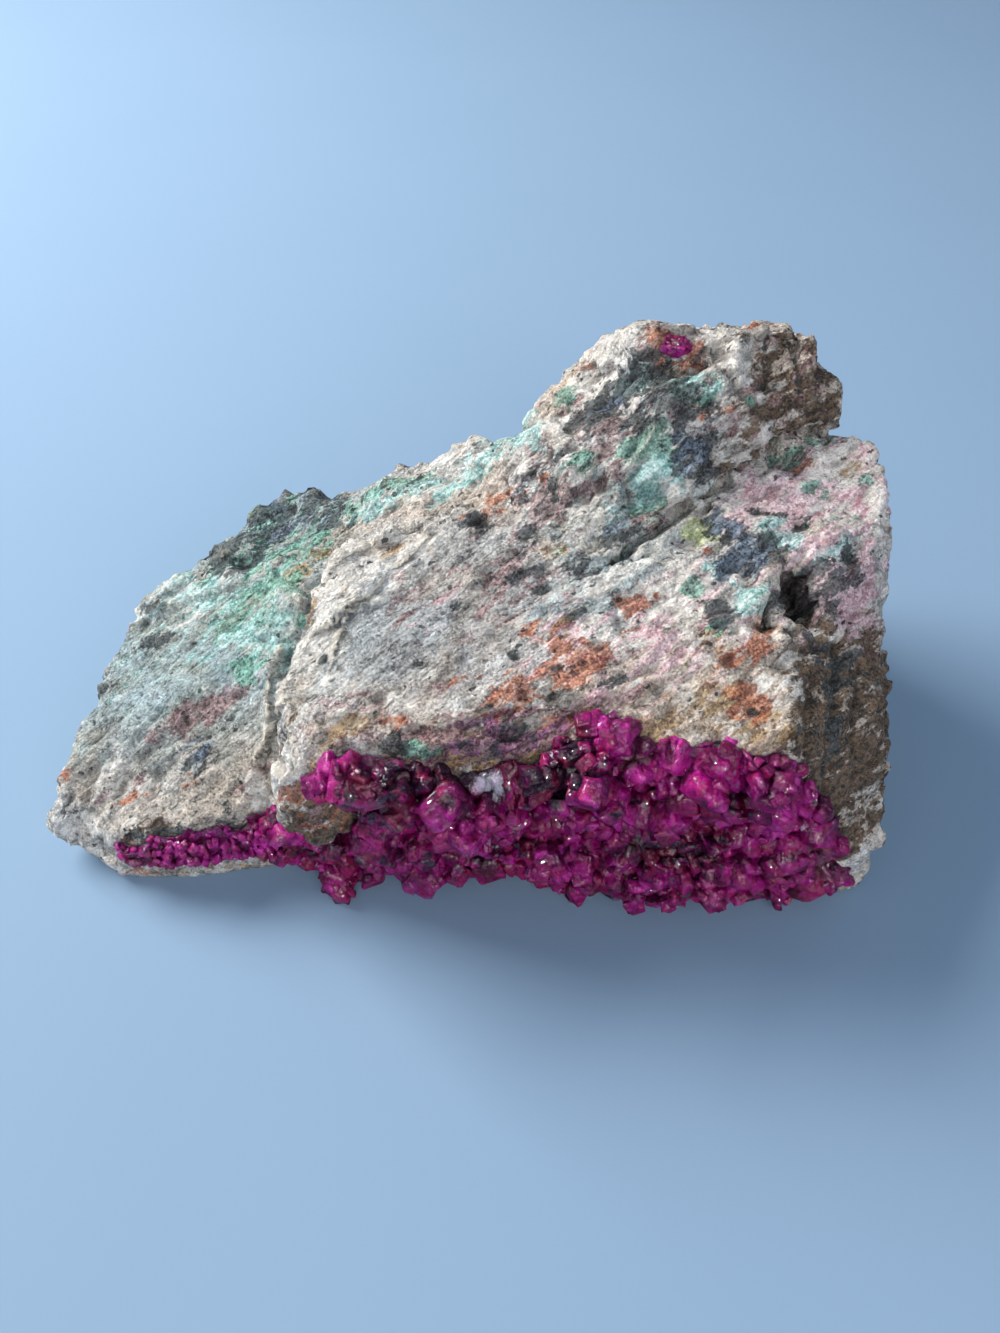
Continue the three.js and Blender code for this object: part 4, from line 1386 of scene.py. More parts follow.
@dataclass(frozen=True)
class StoneFinish:
    """Sugary carbonate rock with its stains, specks and sparkle.

    The layers are the minerals in the order that they cover one another, each with its
    dark and its pale colour, and how much it hides. Hollows and the low sides of ledges get
    painted shade, and sharp ridges and ledge edges get painted highlights, partly wear.
    """

    shades: tuple[tuple[float, Colour], ...] = (
        (0.0, paint("504d4a")),
        (0.2, paint("86827d")),
        (0.45, paint("b5b0a9")),
        (0.7, paint("d4cfc8")),
        (1.0, paint("fbf7f1")),
    )
    speck: Colour = paint("1d2226")
    # A brown-grey laid over as painted shade, in hollows and along the low sides of ledges.
    shadow_tint: Colour = paint("4a4034")
    # The pale of painted highlights on sharp ridges and ledge edges, partly wear.
    crest: Colour = paint("f1e6d4")
    cool: Colour = paint("b9dbe6")
    cream: Colour = paint("f3decb")
    grey: Colour = paint("dcdde1")
    roughness: float = 0.88
    layers: tuple[tuple[Mineral, str, str, float], ...] = (
        (Mineral.BROWN, "241810", "7d6148", 0.94),
        (Mineral.MAUVE, "5a393c", "bf9a99", 0.75),
        (Mineral.PINK, "c48f98", "ffe4e7", 0.84),
        (Mineral.PURPLE, "4a1740", "a5608f", 0.8),
        (Mineral.OCHRE, "6a4722", "cfa971", 0.72),
        (Mineral.WHITE, "cec6bb", "fffaf2", 0.88),
        (Mineral.MALACHITE, "20614f", "92d3bc", 0.76),
        (Mineral.MINT, "64a8a0", "dcfaf6", 0.78),
        (Mineral.LIME, "8f9f55", "e6ebb6", 0.8),
        (Mineral.RUST, "74290f", "d98c64", 0.82),
        (Mineral.BLACK, "0c1012", "5c6466", 0.88),
        (Mineral.AZURE, "1c2838", "8597aa", 0.8),
    )

    def make(self) -> bpy.types.Material:
        """Builds the rock's material.

        Returns:
            The material.
        """
        g = ShaderGraph("host_rock")
        sugar, grain = g.grains(0.36)
        clouds = g.noise(6.0, 5.0, 0.62)
        streaks = g.noise(0.8, 4.0, 0.62, g.stretched(STRIKE_DEG, (2.6, 0.8, 1.8)))
        lines = g.noise(0.55, 3.0, 0.6, g.stretched(STRIKE_DEG, (9.0, 0.7, 6.0), 11.0), 0.3)
        salt = g.noise(0.32, 3.0, 0.7)
        tone = clouds * 1.5 + streaks * 1.1 + lines * 0.7 + salt * 1.5 + grain * 0.35 - 1.98
        mottle = (salt * 1.2 + streaks * 1.2 + clouds * 0.6 + grain * 0.3 - 1.15).ramp(0.2, 0.8)
        colour = g.colours(tone, self.shades)
        colour = self._tinted(g, colour, g.attribute("cool"), self.cool)
        warm = g.noise(8.0, 3.0, 0.5, None, 0.6).ramp(0.42, 0.66) * 0.6
        colour = self._tinted(g, colour, warm.max(g.attribute("cream")), self.cream)
        colour = self._tinted(g, colour, g.attribute("grey"), self.grey)
        for number, (mineral, dark, pale, hide) in enumerate(self.layers):
            mask = g.attribute(mineral.value)
            shifted = g.stretched(STRIKE_DEG, (2.4, 0.9, 1.5), 7.0 * number + 3.0)
            hold = (g.noise(1.9, 4.0, 0.66, shifted) - 0.5) * 3.8 + grain * 0.2 + 0.42
            covered = (mask - hold).ramp(-0.16, 0.26) * mask.ramp(0.02, 0.3) * hide
            inner = g.mix(mottle, paint(dark), paint(pale))
            colour = g.mix(covered, colour, inner)
        dark_stain = g.attribute("black").max(g.attribute("brown"))
        gap = g.attribute("hollow")
        # Painted shade: hollows in the surface are darkened.
        hollow_shade = (gap + (salt - 0.5) * 0.8).ramp(0.15, 1.0)
        colour = self._tinted(g, colour, hollow_shade * 0.4, self.shadow_tint)
        # Painted highlight, partly wear: sharp ridges are paled, less so on dark stains.
        worn = (g.attribute("crest") + (salt - 0.5) * 0.7).ramp(0.3, 1.0)
        worn = worn * (1.0 - dark_stain * 0.8)
        colour = g.mix(worn * 0.45, colour, self.crest)
        edge = g.attribute("ledge_edge")
        side = g.attribute("ledge_side") + (g.noise(0.9, 4.0, 0.65) - 0.5) * 1.1
        # Painted highlight: a pale line along the high side of each ledge's edge.
        rim_highlight = side.ramp(-0.08, 0.06) * side.ramp(0.75, 0.3) * edge
        colour = g.mix(rim_highlight * 0.85, colour, self.crest)
        # Painted shadow: a dark line along the low side of each ledge's edge.
        foot_shadow = side.ramp(-0.55, -0.1) * side.ramp(0.02, -0.1) * edge
        colour = self._tinted(g, colour, foot_shadow * 0.45, self.shadow_tint)
        torn = g.stretched(STRIKE_DEG, (1.6, 0.9, 1.2), 0.0, g.noise(0.9, 2.0), 0.6)
        distance, pick = g.grains(0.95, torn)
        specks = (pick.ramp(0.5, 1.0) * 0.4 - distance).ramp(0.0, 0.1)
        specks = specks * g.noise(4.0, 3.0).ramp(0.4, 0.58)
        colour = g.mix(specks * 0.85, colour, self.speck)
        tiny_distance, tiny_pick = g.grains(0.5, torn)
        tiny = (tiny_pick.ramp(0.66, 1.0) * 0.36 - tiny_distance).ramp(0.0, 0.1)
        colour = g.mix(tiny * 0.5, colour, self.speck)
        flakes = g.facets(1.3, g.stretched(STRIKE_DEG, (1.8, 0.9, 1.3), 5.0, salt, 0.15)) * 0.8
        chips = g.facets(0.55, g.stretched(STRIKE_DEG, (1.4, 0.9, 1.1), 8.0, salt, 0.1)) * 1.2
        height = salt * 0.26 - sugar * 0.16 + streaks * 0.34 + lines * 0.2 - specks * 0.2
        height = height + flakes + chips + side.ramp(-0.1, 0.1) * edge * 0.35
        normal = g.relief(height)
        glint = grain.ramp(0.94, 0.97)
        g.shade(
            {"IOR": 1.5, "Specular IOR Level": 0.3},
            {"Base Color": colour, "Roughness": self.roughness - glint * 0.5, "Normal": normal},
        )
        return g.material

    @staticmethod
    def _tinted(g: ShaderGraph, colour: Socket, share: Field, tint: Colour) -> Socket:
        """Washes a colour with a tint, by the share."""
        return g.mix(share, colour, g.mix(1.0, colour, tint, "MULTIPLY"))


@dataclass(frozen=True)
class CrystalFinish:
    """Glassy, clouded magenta calcite."""

    deep: Colour = paint("2c0427")
    body: Colour = paint("a2006c")
    bright: Colour = paint("e82cb4")
    red: Colour = paint("a81848")
    lilac: Colour = paint("eadcec")
    tan: Colour = paint("8d6a5c")

    def make(self) -> bpy.types.Material:
        """Builds the crystals' material.

        Returns:
            The material.
        """
        g = ShaderGraph("cobaltocalcite")
        veil = g.noise(2.0, 4.0, 0.55, None, 0.8)
        fine = g.noise(0.3, 3.0, 0.7)
        tone = g.attribute("tint") * 0.3 + veil * 1.8 + fine * 0.3 - 0.78
        # Painted shade: these stains darken the tone under the rock's lip and in recesses of the
        # druse.
        tone = tone + g.attribute("glow") * 0.3 - g.attribute("crystal_shade") * 0.6
        colour = g.colours(tone, [(0.0, self.deep), (0.4, self.body), (0.95, self.bright)])
        clots = g.noise(2.2, 3.0, 0.5, g.stretched(0.0, EVEN, 9.0)).ramp(0.5, 0.64)
        crimson = clots.max(g.attribute("red").ramp(0.7, 0.95)) * 0.5
        colour = g.mix(crimson, colour, self.red)
        film = g.noise(4.0, 4.0, 0.65, g.stretched(0.0, EVEN, 20.0)).ramp(0.64, 0.76)
        earth = (g.attribute("earth") + (fine - 0.5) * 1.0).ramp(0.4, 0.8).max(film * 0.16)
        colour = g.mix(earth * 0.75, colour, g.mix(veil.ramp(0.35, 0.65), self.deep, self.tan))
        lilac = (g.attribute("lilac") + (fine - 0.5) * 1.0).ramp(0.35, 0.75)
        colour = g.mix(lilac * 0.85, colour, self.lilac)
        # Painted shade: the lower parts of the crystals, the small ones and the bed between them
        # are darkened. This stands in for shade in the gaps and partly for depth in the glass.
        sunk_shade = g.attribute("sunk_shade").max(g.attribute("root") * 0.8)
        colour = g.mix(sunk_shade * 0.85, colour, self.deep)
        rough = (fine * 0.5 + veil * 0.5).ramp(0.42, 0.7) * 0.2 + 0.42
        facets = g.facets(1.1, g.stretched(0.0, EVEN, 3.0, veil, 0.5)) * 0.7
        flecks = g.facets(0.45) * 0.7
        normal = g.relief(facets + flecks + fine * 0.1 + veil * 0.2)
        scratches = g.stretched(20.0, (3.0, 1.0, 1.4), 4.0, veil, 1.2)
        glassy = g.noise(0.9, 3.0, 0.6, scratches).ramp(0.46, 0.56)
        g.shade(
            {
                "IOR": 1.58,
                "Transmission Weight": 0.2,
                "Subsurface Weight": 0.35,
                "Subsurface Radius": (1.0, 0.12, 0.55),
                "Subsurface Scale": 0.0016,
                "Specular IOR Level": 0.08,
                "Coat Roughness": 0.06,
                "Coat IOR": 1.6,
            },
            {
                "Base Color": colour,
                "Roughness": rough - glassy * 0.3,
                "Normal": normal,
                "Coat Weight": glassy * (1.0 - sunk_shade) * 0.7,
            },
        )
        return g.material


@dataclass(frozen=True)
class PaperFinish:
    """The plain pale surface that the specimen stands on."""

    colour: Colour = paint("89a2bb")
    drift: Colour = paint("859fb8")

    def make(self) -> bpy.types.Material:
        """Builds the floor's material.

        Returns:
            The material.
        """
        g = ShaderGraph("floor_paper")
        colour = g.mix(g.noise(60.0, 2.0), self.colour, self.drift)
        g.shade({"Roughness": 0.9, "Specular IOR Level": 0.2}, {"Base Color": colour})
        return g.material


# ---- the host rock


@dataclass
class HostRock:
    """The block of matrix, remeshed from its solid and broken up.

    A stain on the walls has its noise's seed, its mineral, its share and its threshold.
    """

    camera: SpecimenCamera
    voxel: float = 0.48
    smoothing: int = 5
    sole: float = 0.5
    knob: Pixel = (298.0, 494.0)
    knob_reach: float = 12.0
    knob_wear: int = 30
    stray: float = 0.4
    stray_size: float = 3.0
    curve_reach: int = 6
    wall_stain_size: float = 9.0
    wall_stains: tuple[tuple[int, Mineral, float, float], ...] = (
        (42, Mineral.BROWN, 0.55, 0.0),
        (43, Mineral.MALACHITE, 0.7, 0.38),
        (44, Mineral.RUST, 0.6, 0.38),
        (45, Mineral.MAUVE, 0.6, 0.38),
        (46, Mineral.BLACK, 0.7, 0.38),
        (48, Mineral.OCHRE, 0.6, 0.38),
    )
    band_size: Triple = (16.0, 4.0, 30.0)
    streak_size: Triple = (9.0, 1.8, 14.0)
    bedding: Bedding = field(default_factory=Bedding)
    chisel: Chisel = field(default_factory=Chisel)
    finish: StoneFinish = field(default_factory=StoneFinish)

    def build(self) -> Object:
        """Makes the piece and dresses it.

        Returns:
            The piece.
        """
        caster = Caster(self.camera, tree_of("host_rock"))
        rock = object_from(merged_bmesh("host_rock"), "host_rock_surface")
        self._remesh(rock)
        self._drop_sole(rock)
        self._wear_knob(rock, caster)
        skin = RockSkin.of(rock.data)
        wander = self.stray * Noise(31).cloud(skin.points / self.stray_size, 3)
        masks = {mineral: skin.patches(STAINS[mineral], caster, wander) for mineral in Mineral}
        self._paint_sides(skin, masks)
        behind = eased(0.3, 0.7, skin.normals[:, 1])
        crags = np.maximum(skin.patches(CRAGS, caster, wander), 0.6 * behind)
        calm = skin.patches(CALM, caster, wander)
        columns = skin.patches(COLUMNS, caster, wander)
        relief = self.bedding.relief(skin, calm, crags, columns)
        lift, side, edge = self._features(skin, caster)
        broken = RockSkin(skin.points + skin.normals * relief[:, None], skin.normals)
        carved = self.chisel.carve(broken, crags * (1.0 - calm), caster)
        self._place(rock.data, skin, carved + skin.normals * lift[:, None])
        # Hollows are later painted with shade, and sharp ridges with a pale highlight that is
        # partly wear.
        hollow, sharp = self._curvature(rock.data)
        layers = {mineral.value: mask for mineral, mask in masks.items()}
        layers.update(hollow=hollow, crest=sharp, ledge_side=side, ledge_edge=edge)
        for name, values in layers.items():
            write_attribute(rock.data, name, values)
        rock.data.shade_smooth()
        dress(rock, self.finish.make())
        return rock

    def _remesh(self, rock: Object) -> None:
        """Turns the solid's facets into an even fine mesh with eased edges.

        Args:
            rock: The piece.
        """
        remesh = rock.modifiers.new("even", "REMESH")
        remesh.mode = "VOXEL"
        remesh.voxel_size = self.voxel * MM
        ease = rock.modifiers.new("ease", "SMOOTH")
        ease.iterations = self.smoothing
        ease.factor = 0.5
        apply_modifiers(rock)

    def _drop_sole(self, rock: Object) -> None:
        """Makes the flat underside one plain face, which needs no fine mesh.

        Args:
            rock: The piece.
        """
        with edited(rock.data) as bm:
            for vert in bm.verts:
                if vert.co.z < self.sole * MM:
                    vert.co.z = 0.0
            down = [face for face in bm.faces if face.normal.z < -0.9]
            under = [face for face in down if face.calc_center_median().z < 0.1 * MM]
            bmesh.ops.dissolve_faces(bm, faces=under, use_verts=True)

    def _wear_knob(self, rock: Object, caster: Caster) -> None:
        """Wears the knob at the back of the shelf down to soft lumps.

        Args:
            rock: The piece.
            caster: Finds the knob.
        """
        middle = Vector(caster.spot(self.knob).at) * MM
        reach = self.knob_reach * MM
        with edited(rock.data) as bm:
            worn = [vert for vert in bm.verts if (vert.co - middle).length < reach]
            soften(bm, worn, self.knob_wear)

    def _curvature(self, mesh: bpy.types.Mesh) -> tuple[Array, Array]:
        """Measures how the finished surface curves at each point.

        Args:
            mesh: The finished mesh.

        Returns:
            How hollow and how sharp it is, from 0 to 1.
        """
        skin = RockSkin.of(mesh)
        ends = np.empty(len(mesh.edges) * 2, dtype=np.int64)
        mesh.edges.foreach_get("vertices", ends)
        a, b = ends.reshape(-1, 2).T
        count = np.bincount(ends, minlength=len(skin.points))[:, None]

        def spread(values: Array) -> Array:
            """Averages values over each point's neighbours.

            Args:
                values: One row for each point.

            Returns:
                The means, in the same order.
            """
            total = np.zeros_like(values)
            for axis in range(values.shape[1]):
                total[:, axis] = np.bincount(a, values[b, axis], len(total))
                total[:, axis] += np.bincount(b, values[a, axis], len(total))
            return total / np.maximum(count, 1)

        level = skin.points
        for _ in range(self.curve_reach):
            level = spread(level)
        depth = np.sum((level - skin.points) * skin.normals, 1)[:, None]
        depth = spread(depth)[:, 0]
        return eased(0.02, 0.22, depth), 0.7 * eased(0.06, 0.3, -depth)

    def _paint_sides(self, skin: RockSkin, masks: dict[Mineral, Array]) -> None:
        """Gives the walls the weathered brown and the odd stain that the top has too.

        Args:
            skin: The rock's points and normals.
            masks: How much of each mineral the points have, which changes.
        """
        points = skin.points
        height = points[:, 2] + 9.0 * Noise(49).cloud(points / 12.0, 3)
        rightward = eased(0.45, 0.75, skin.normals[:, 0]) * eased(40.0, 26.0, height)
        rightward = rightward * eased(25.0, 35.0, points[:, 0])
        backward = eased(0.5, 0.8, skin.normals[:, 1])
        leftward = eased(0.5, 0.9, -skin.normals[:, 0])
        leftward = leftward * eased(-20.0, -30.0, points[:, 0])
        laid = self.bedding.frame(points)
        bands = eased(-0.5, 0.5, Noise(41).cloud(laid / self.band_size, 3))
        flank = rightward * (0.85 + 0.15 * bands)
        masks[Mineral.BROWN] = np.maximum(masks[Mineral.BROWN], flank)
        walls = np.maximum(backward, leftward)
        for seed, mineral, share, low in self.wall_stains:
            cloud = Noise(seed).cloud(points / self.wall_stain_size, 3)
            patch = eased(low, low + 0.4, cloud)
            masks[mineral] = np.maximum(masks[mineral], share * patch * walls)
        streaks = eased(0.25, 0.7, Noise(47).cloud(points / self.streak_size, 3))
        masks[Mineral.BLACK] = np.maximum(masks[Mineral.BLACK], 0.8 * streaks * rightward)

    @staticmethod
    def _features(skin: RockSkin, caster: Caster) -> tuple[Array, Array, Array]:
        """Cuts the ledges, cracks and pits.

        Args:
            skin: The rock's points.
            caster: Finds where they lie.

        Returns:
            How far each point moves out, how far it lies on the high side of the nearest
            ledge, both in millimetres, and how marked that ledge is, from 0 to 1.
        """
        lift = np.zeros(len(skin.points))
        side = np.full(len(skin.points), 9.0)
        edge = np.zeros(len(skin.points))
        ragged = 0.7 * Noise(51).cloud(skin.points / 2.6, 4)
        broken = eased(-0.45, 0.25, Noise(52).cloud(skin.points / 5.0, 3))
        for ledge in LEDGES:
            spots = skin.draped(ledge.route, caster)
            index, distance, aside = skin.near(spots, 2.5 * ledge.run)
            aside = aside + ragged[index]
            ends = eased(2.5 * ledge.run, 1.2 * ledge.run, distance)
            step = eased(-0.25, 0.25, aside) * np.exp(-np.maximum(aside, 0.0) / ledge.run)
            lift[index] += ledge.height * step * ends * (0.4 + 0.6 * broken[index])
            nearer = np.abs(aside) < np.abs(side[index])
            on_route = eased(1.5, 0.5, distance - np.abs(aside))
            side[index[nearer]] = aside[nearer]
            edge[index[nearer]] = (ledge.crest * on_route * (0.4 + 0.6 * broken[index]))[nearer]
        for groove in GROOVES:
            spots = skin.draped(groove.route, caster)
            index, distance, _ = skin.near(spots, 3.0 * groove.width)
            rough = distance + 0.6 * ragged[index] * groove.width
            lift[index] -= groove.depth * np.exp(-((rough / groove.width) ** 2))
        for rise in SWELLINGS:
            spot = caster.spot((rise.x, rise.y))
            away = np.linalg.norm(skin.points - spot.at, axis=1) + ragged
            lift += rise.height * eased(1.5 * rise.radius, 0.3 * rise.radius, away)
        for pit in PITS:
            spot = caster.spot((pit.x, pit.y))
            away = np.linalg.norm(skin.points - spot.at, axis=1) + 0.5 * ragged * pit.radius
            lift -= pit.depth * eased(1.25 * pit.radius, 0.45 * pit.radius, away)
        return lift, side, edge

    @staticmethod
    def _place(mesh: bpy.types.Mesh, skin: RockSkin, aims: Array) -> None:
        """Moves the points to their aims, but less near the ground and never below it.

        Args:
            mesh: The mesh, in metres.
            skin: Where its points are.
            aims: Where they should go, in millimetres.
        """
        firm = eased(0.0, 2.0, skin.points[:, 2])
        firm[skin.points[:, 2] < 0.01] = 0.0
        moved = skin.points + (aims - skin.points) * firm[:, None]
        moved[:, 2] = np.maximum(moved[:, 2], 0.0)
        mesh.vertices.foreach_set("co", (moved * MM).ravel())
        mesh.update()


# ---- the crystals


@dataclass
class Crystal:
    """One rhombohedron: where it stands, which way it points, its colour, and how much painted
    shade darkens it.
    """

    at: Vector
    pointing: Vector
    size: float
    spin: float
    stretch: float
    tint: float
    red: float
    sunk_shade: float = 0.0
    sides: Triple = (1.0, 1.0, 1.0)

    def shape(self) -> Array:
        """Where and how large the crystal is.

        Returns:
            The matrix that turns the mould's crystal into this one.
        """
        diagonal = Vector((1.0, 1.0, 1.0)).normalized()
        upright = diagonal.rotation_difference(Vector((0.0, 0.0, 1.0))).to_matrix().to_4x4()
        turn = Vector((0.0, 0.0, 1.0)).rotation_difference(self.pointing)
        spin = Quaternion(self.pointing, self.spin)
        made = (
            Matrix.Translation(self.at)
            @ (spin @ turn).to_matrix().to_4x4()
            @ Matrix.Diagonal((self.size, self.size, self.size * self.stretch, 1.0))
            @ upright
            @ Matrix.Diagonal((*self.sides, 1.0))
        )
        return np.array(made)


@dataclass
class CrystalMould:
    """Casts crystals into one mesh, each with its colour and its painted shade on its points."""

    LAYERS: ClassVar[tuple[str, ...]] = ("tint", "red", "sunk_shade")
    worn_edge: float = 0.19
    uneven: float = 0.2
    warp: float = 0.6
    lowest: float = 0.05

    def __post_init__(self) -> None:
        """Shapes the mould: a cube with worn edges."""
        bm = bmesh.new()
        bmesh.ops.create_cube(bm, size=1.0)
        bmesh.ops.bevel(
            bm, geom=bm.edges[:], offset=self.worn_edge, offset_type="OFFSET",
            affect="EDGES", segments=2, profile=0.5, material=-1,
        )
        bm.verts.index_update()
        self.points = np.array([[*vert.co, 1.0] for vert in bm.verts])
        # The lower part of each crystal, to be darkened: painted shade between crystals, and depth
        # in the glass.
        self.root = eased(0.5, -0.2, np.sum(self.points[:, :3], 1) / math.sqrt(3.0))
        self.faces = [[vert.index for vert in face.verts] for face in bm.faces]
        bm.free()

    def cast(self, crystals: Sequence[Crystal], bed: Object) -> None:
        """Adds crystals to an object whose mesh is in metres.

        Args:
            crystals: What to add.
            bed: The object that takes them.
        """
        shapes = np.stack([crystal.shape() for crystal in crystals])
        points = np.einsum("nij,vj->nvi", shapes, self.points)[..., :3]
        sizes = np.array([crystal.size for crystal in crystals])[:, None, None]
        points += self.uneven * sizes * self._shiver(points)
        points += self.warp * self._shiver(points / 4.0)
        points[..., 2] = np.maximum(points[..., 2], self.lowest)
        per = len(self.points)
        faces = [[v + n * per for v in face] for n in range(len(crystals)) for face in self.faces]
        mesh = bpy.data.meshes.new("crystals")
        mesh.from_pydata((points.reshape(-1, 3) * MM).tolist(), [], faces)
        mesh.polygons.foreach_set("use_smooth", np.ones(len(mesh.polygons), dtype=bool))
        for name in self.LAYERS:
            values = np.repeat([getattr(crystal, name) for crystal in crystals], per)
            write_attribute(mesh, name, values)
        write_attribute(mesh, "root", np.tile(self.root, len(crystals)))
        with edited(bed.data) as bm:
            bm.from_mesh(mesh)
        bpy.data.meshes.remove(mesh)

    @staticmethod
    def _shiver(points: Array) -> Array:
        """A small uneven push for each point, so no face stays quite flat."""
        return np.stack([Noise(60 + axis).smooth(points / 1.3) for axis in range(3)], -1)


class Cast(Enum):
    """What changes the druse's colour: painted shade darkens it, and earth, lilac and glow tint it.
    The value is the name of its attribute.
    """

    SHADE = "crystal_shade"
    EARTH = "earth"
    LILAC = "lilac"
    GLOW = "glow"


DRUSE_STAINS: dict[Cast, list[Stain]] = {
    # Painted shade: the druse darkened under the rock's lip and in its recesses.
    Cast.SHADE: [
        Stain(556, 780, 4.6, 2.4, 10), Stain(578, 737, 1.8, 1.4, 40), Stain(670, 850, 7, 2.2, 5),
        Stain(602, 890, 2.2, 1.6, 20), Stain(448, 801, 2.6, 1.6, 10), Stain(480, 858, 4, 2, 0, 0.8),
        Stain(520, 840, 3, 1.8, 20, 0.7), Stain(395, 800, 2.6, 1.8, 30, 0.8),
        Stain(310, 846, 3, 2, 0, 0.9), Stain(245, 862, 3, 1.2, 0, 0.7),
        Stain(640, 800, 2, 1.4, 20, 0.7), Stain(735, 800, 2, 1.4, 0, 0.6),
        Stain(780, 850, 2.6, 1.4, 0, 0.4), Stain(410, 778, 9, 2.2, 5, 0.9),
        Stain(480, 775, 4, 1.4, -10, 0.7), Stain(360, 860, 4, 1.8, 0, 0.6),
    ],
    Cast.EARTH: [
        Stain(642, 748, 2, 1.6), Stain(682, 771, 1.6, 1.2, 0), Stain(632, 762, 2.2, 1.2, 30, 0.7),
        Stain(590, 842, 2, 1.4, 0, 0.7), Stain(630, 846, 2.4, 1.2, 0, 0.7),
        Stain(505, 818, 1.6, 1, 0, 0.6), Stain(400, 780, 3, 1, 10, 0.6),
        Stain(810, 850, 3.6, 1.4, -10, 0.8), Stain(835, 868, 3, 2, 0, 0.8),
        Stain(190, 862, 6, 0.9, 5, 0.5), Stain(140, 862, 3, 1.2, 0, 0.7),
        Stain(740, 752, 5, 0.9, 0, 0.5),
    ],
    Cast.LILAC: [
        Stain(282, 832, 1.6, 1.2, 30, 0.7), Stain(490, 788, 1.9, 1.5, 60),
        Stain(453, 810, 2.4, 0.9, 10, 0.9), Stain(497, 842, 1.3, 0.9, 0, 0.8),
        Stain(812, 828, 1.8, 1, -20, 0.8), Stain(458, 886, 1, 0.8, 0, 0.8),
        Stain(618, 892, 1, 1.6, 0, 0.7), Stain(365, 852, 0.9, 1.6, 0, 0.7),
        Stain(575, 808, 1.8, 0.8, 60, 0.5), Stain(780, 782, 1.6, 0.8, -30, 0.5),
    ],
    Cast.GLOW: [
        Stain(605, 722, 3.6, 2.8), Stain(672, 735, 3.2, 2.4, 40, 0.9),
        Stain(700, 765, 6, 3.4, 20, 0.8), Stain(745, 770, 5, 3, 0, 0.7),
        Stain(660, 800, 5, 3, 0, 0.6), Stain(480, 822, 5, 2, 10, 0.7), Stain(330, 764, 2.2, 2.2, 0),
        Stain(318, 888, 2.6, 2, 0, 0.9), Stain(190, 852, 14, 3, 5), Stain(540, 870, 5, 2, 0, 0.5),
        Stain(790, 810, 4, 4, 0, 0.6), Stain(735, 850, 5, 2.4, 0, 0.7),
        Stain(700, 890, 6, 2, 0, 0.4),
    ],
}


@dataclass(frozen=True)
class LoneCrystal:
    """A crystal that stands out by itself: its pixel, size in millimetres and tint."""

    x: float
    y: float
    size: float
    tint: float


LONE_CRYSTALS = (
    LoneCrystal(604, 729, 3.1, 0.95), LoneCrystal(672, 742, 3.4, 0.9),
    LoneCrystal(284, 834, 3.6, 0.95), LoneCrystal(330, 764, 3.2, 0.9),
    LoneCrystal(318, 888, 2.8, 0.9), LoneCrystal(700, 744, 2.6, 0.7),
    LoneCrystal(640, 722, 1.6, 0.7), LoneCrystal(560, 745, 2.0, 0.5),
    LoneCrystal(352, 758, 2.2, 0.5), LoneCrystal(732, 742, 2.2, 0.6),
    LoneCrystal(765, 748, 2.0, 0.6), LoneCrystal(283, 838, 1.8, 0.9),
)


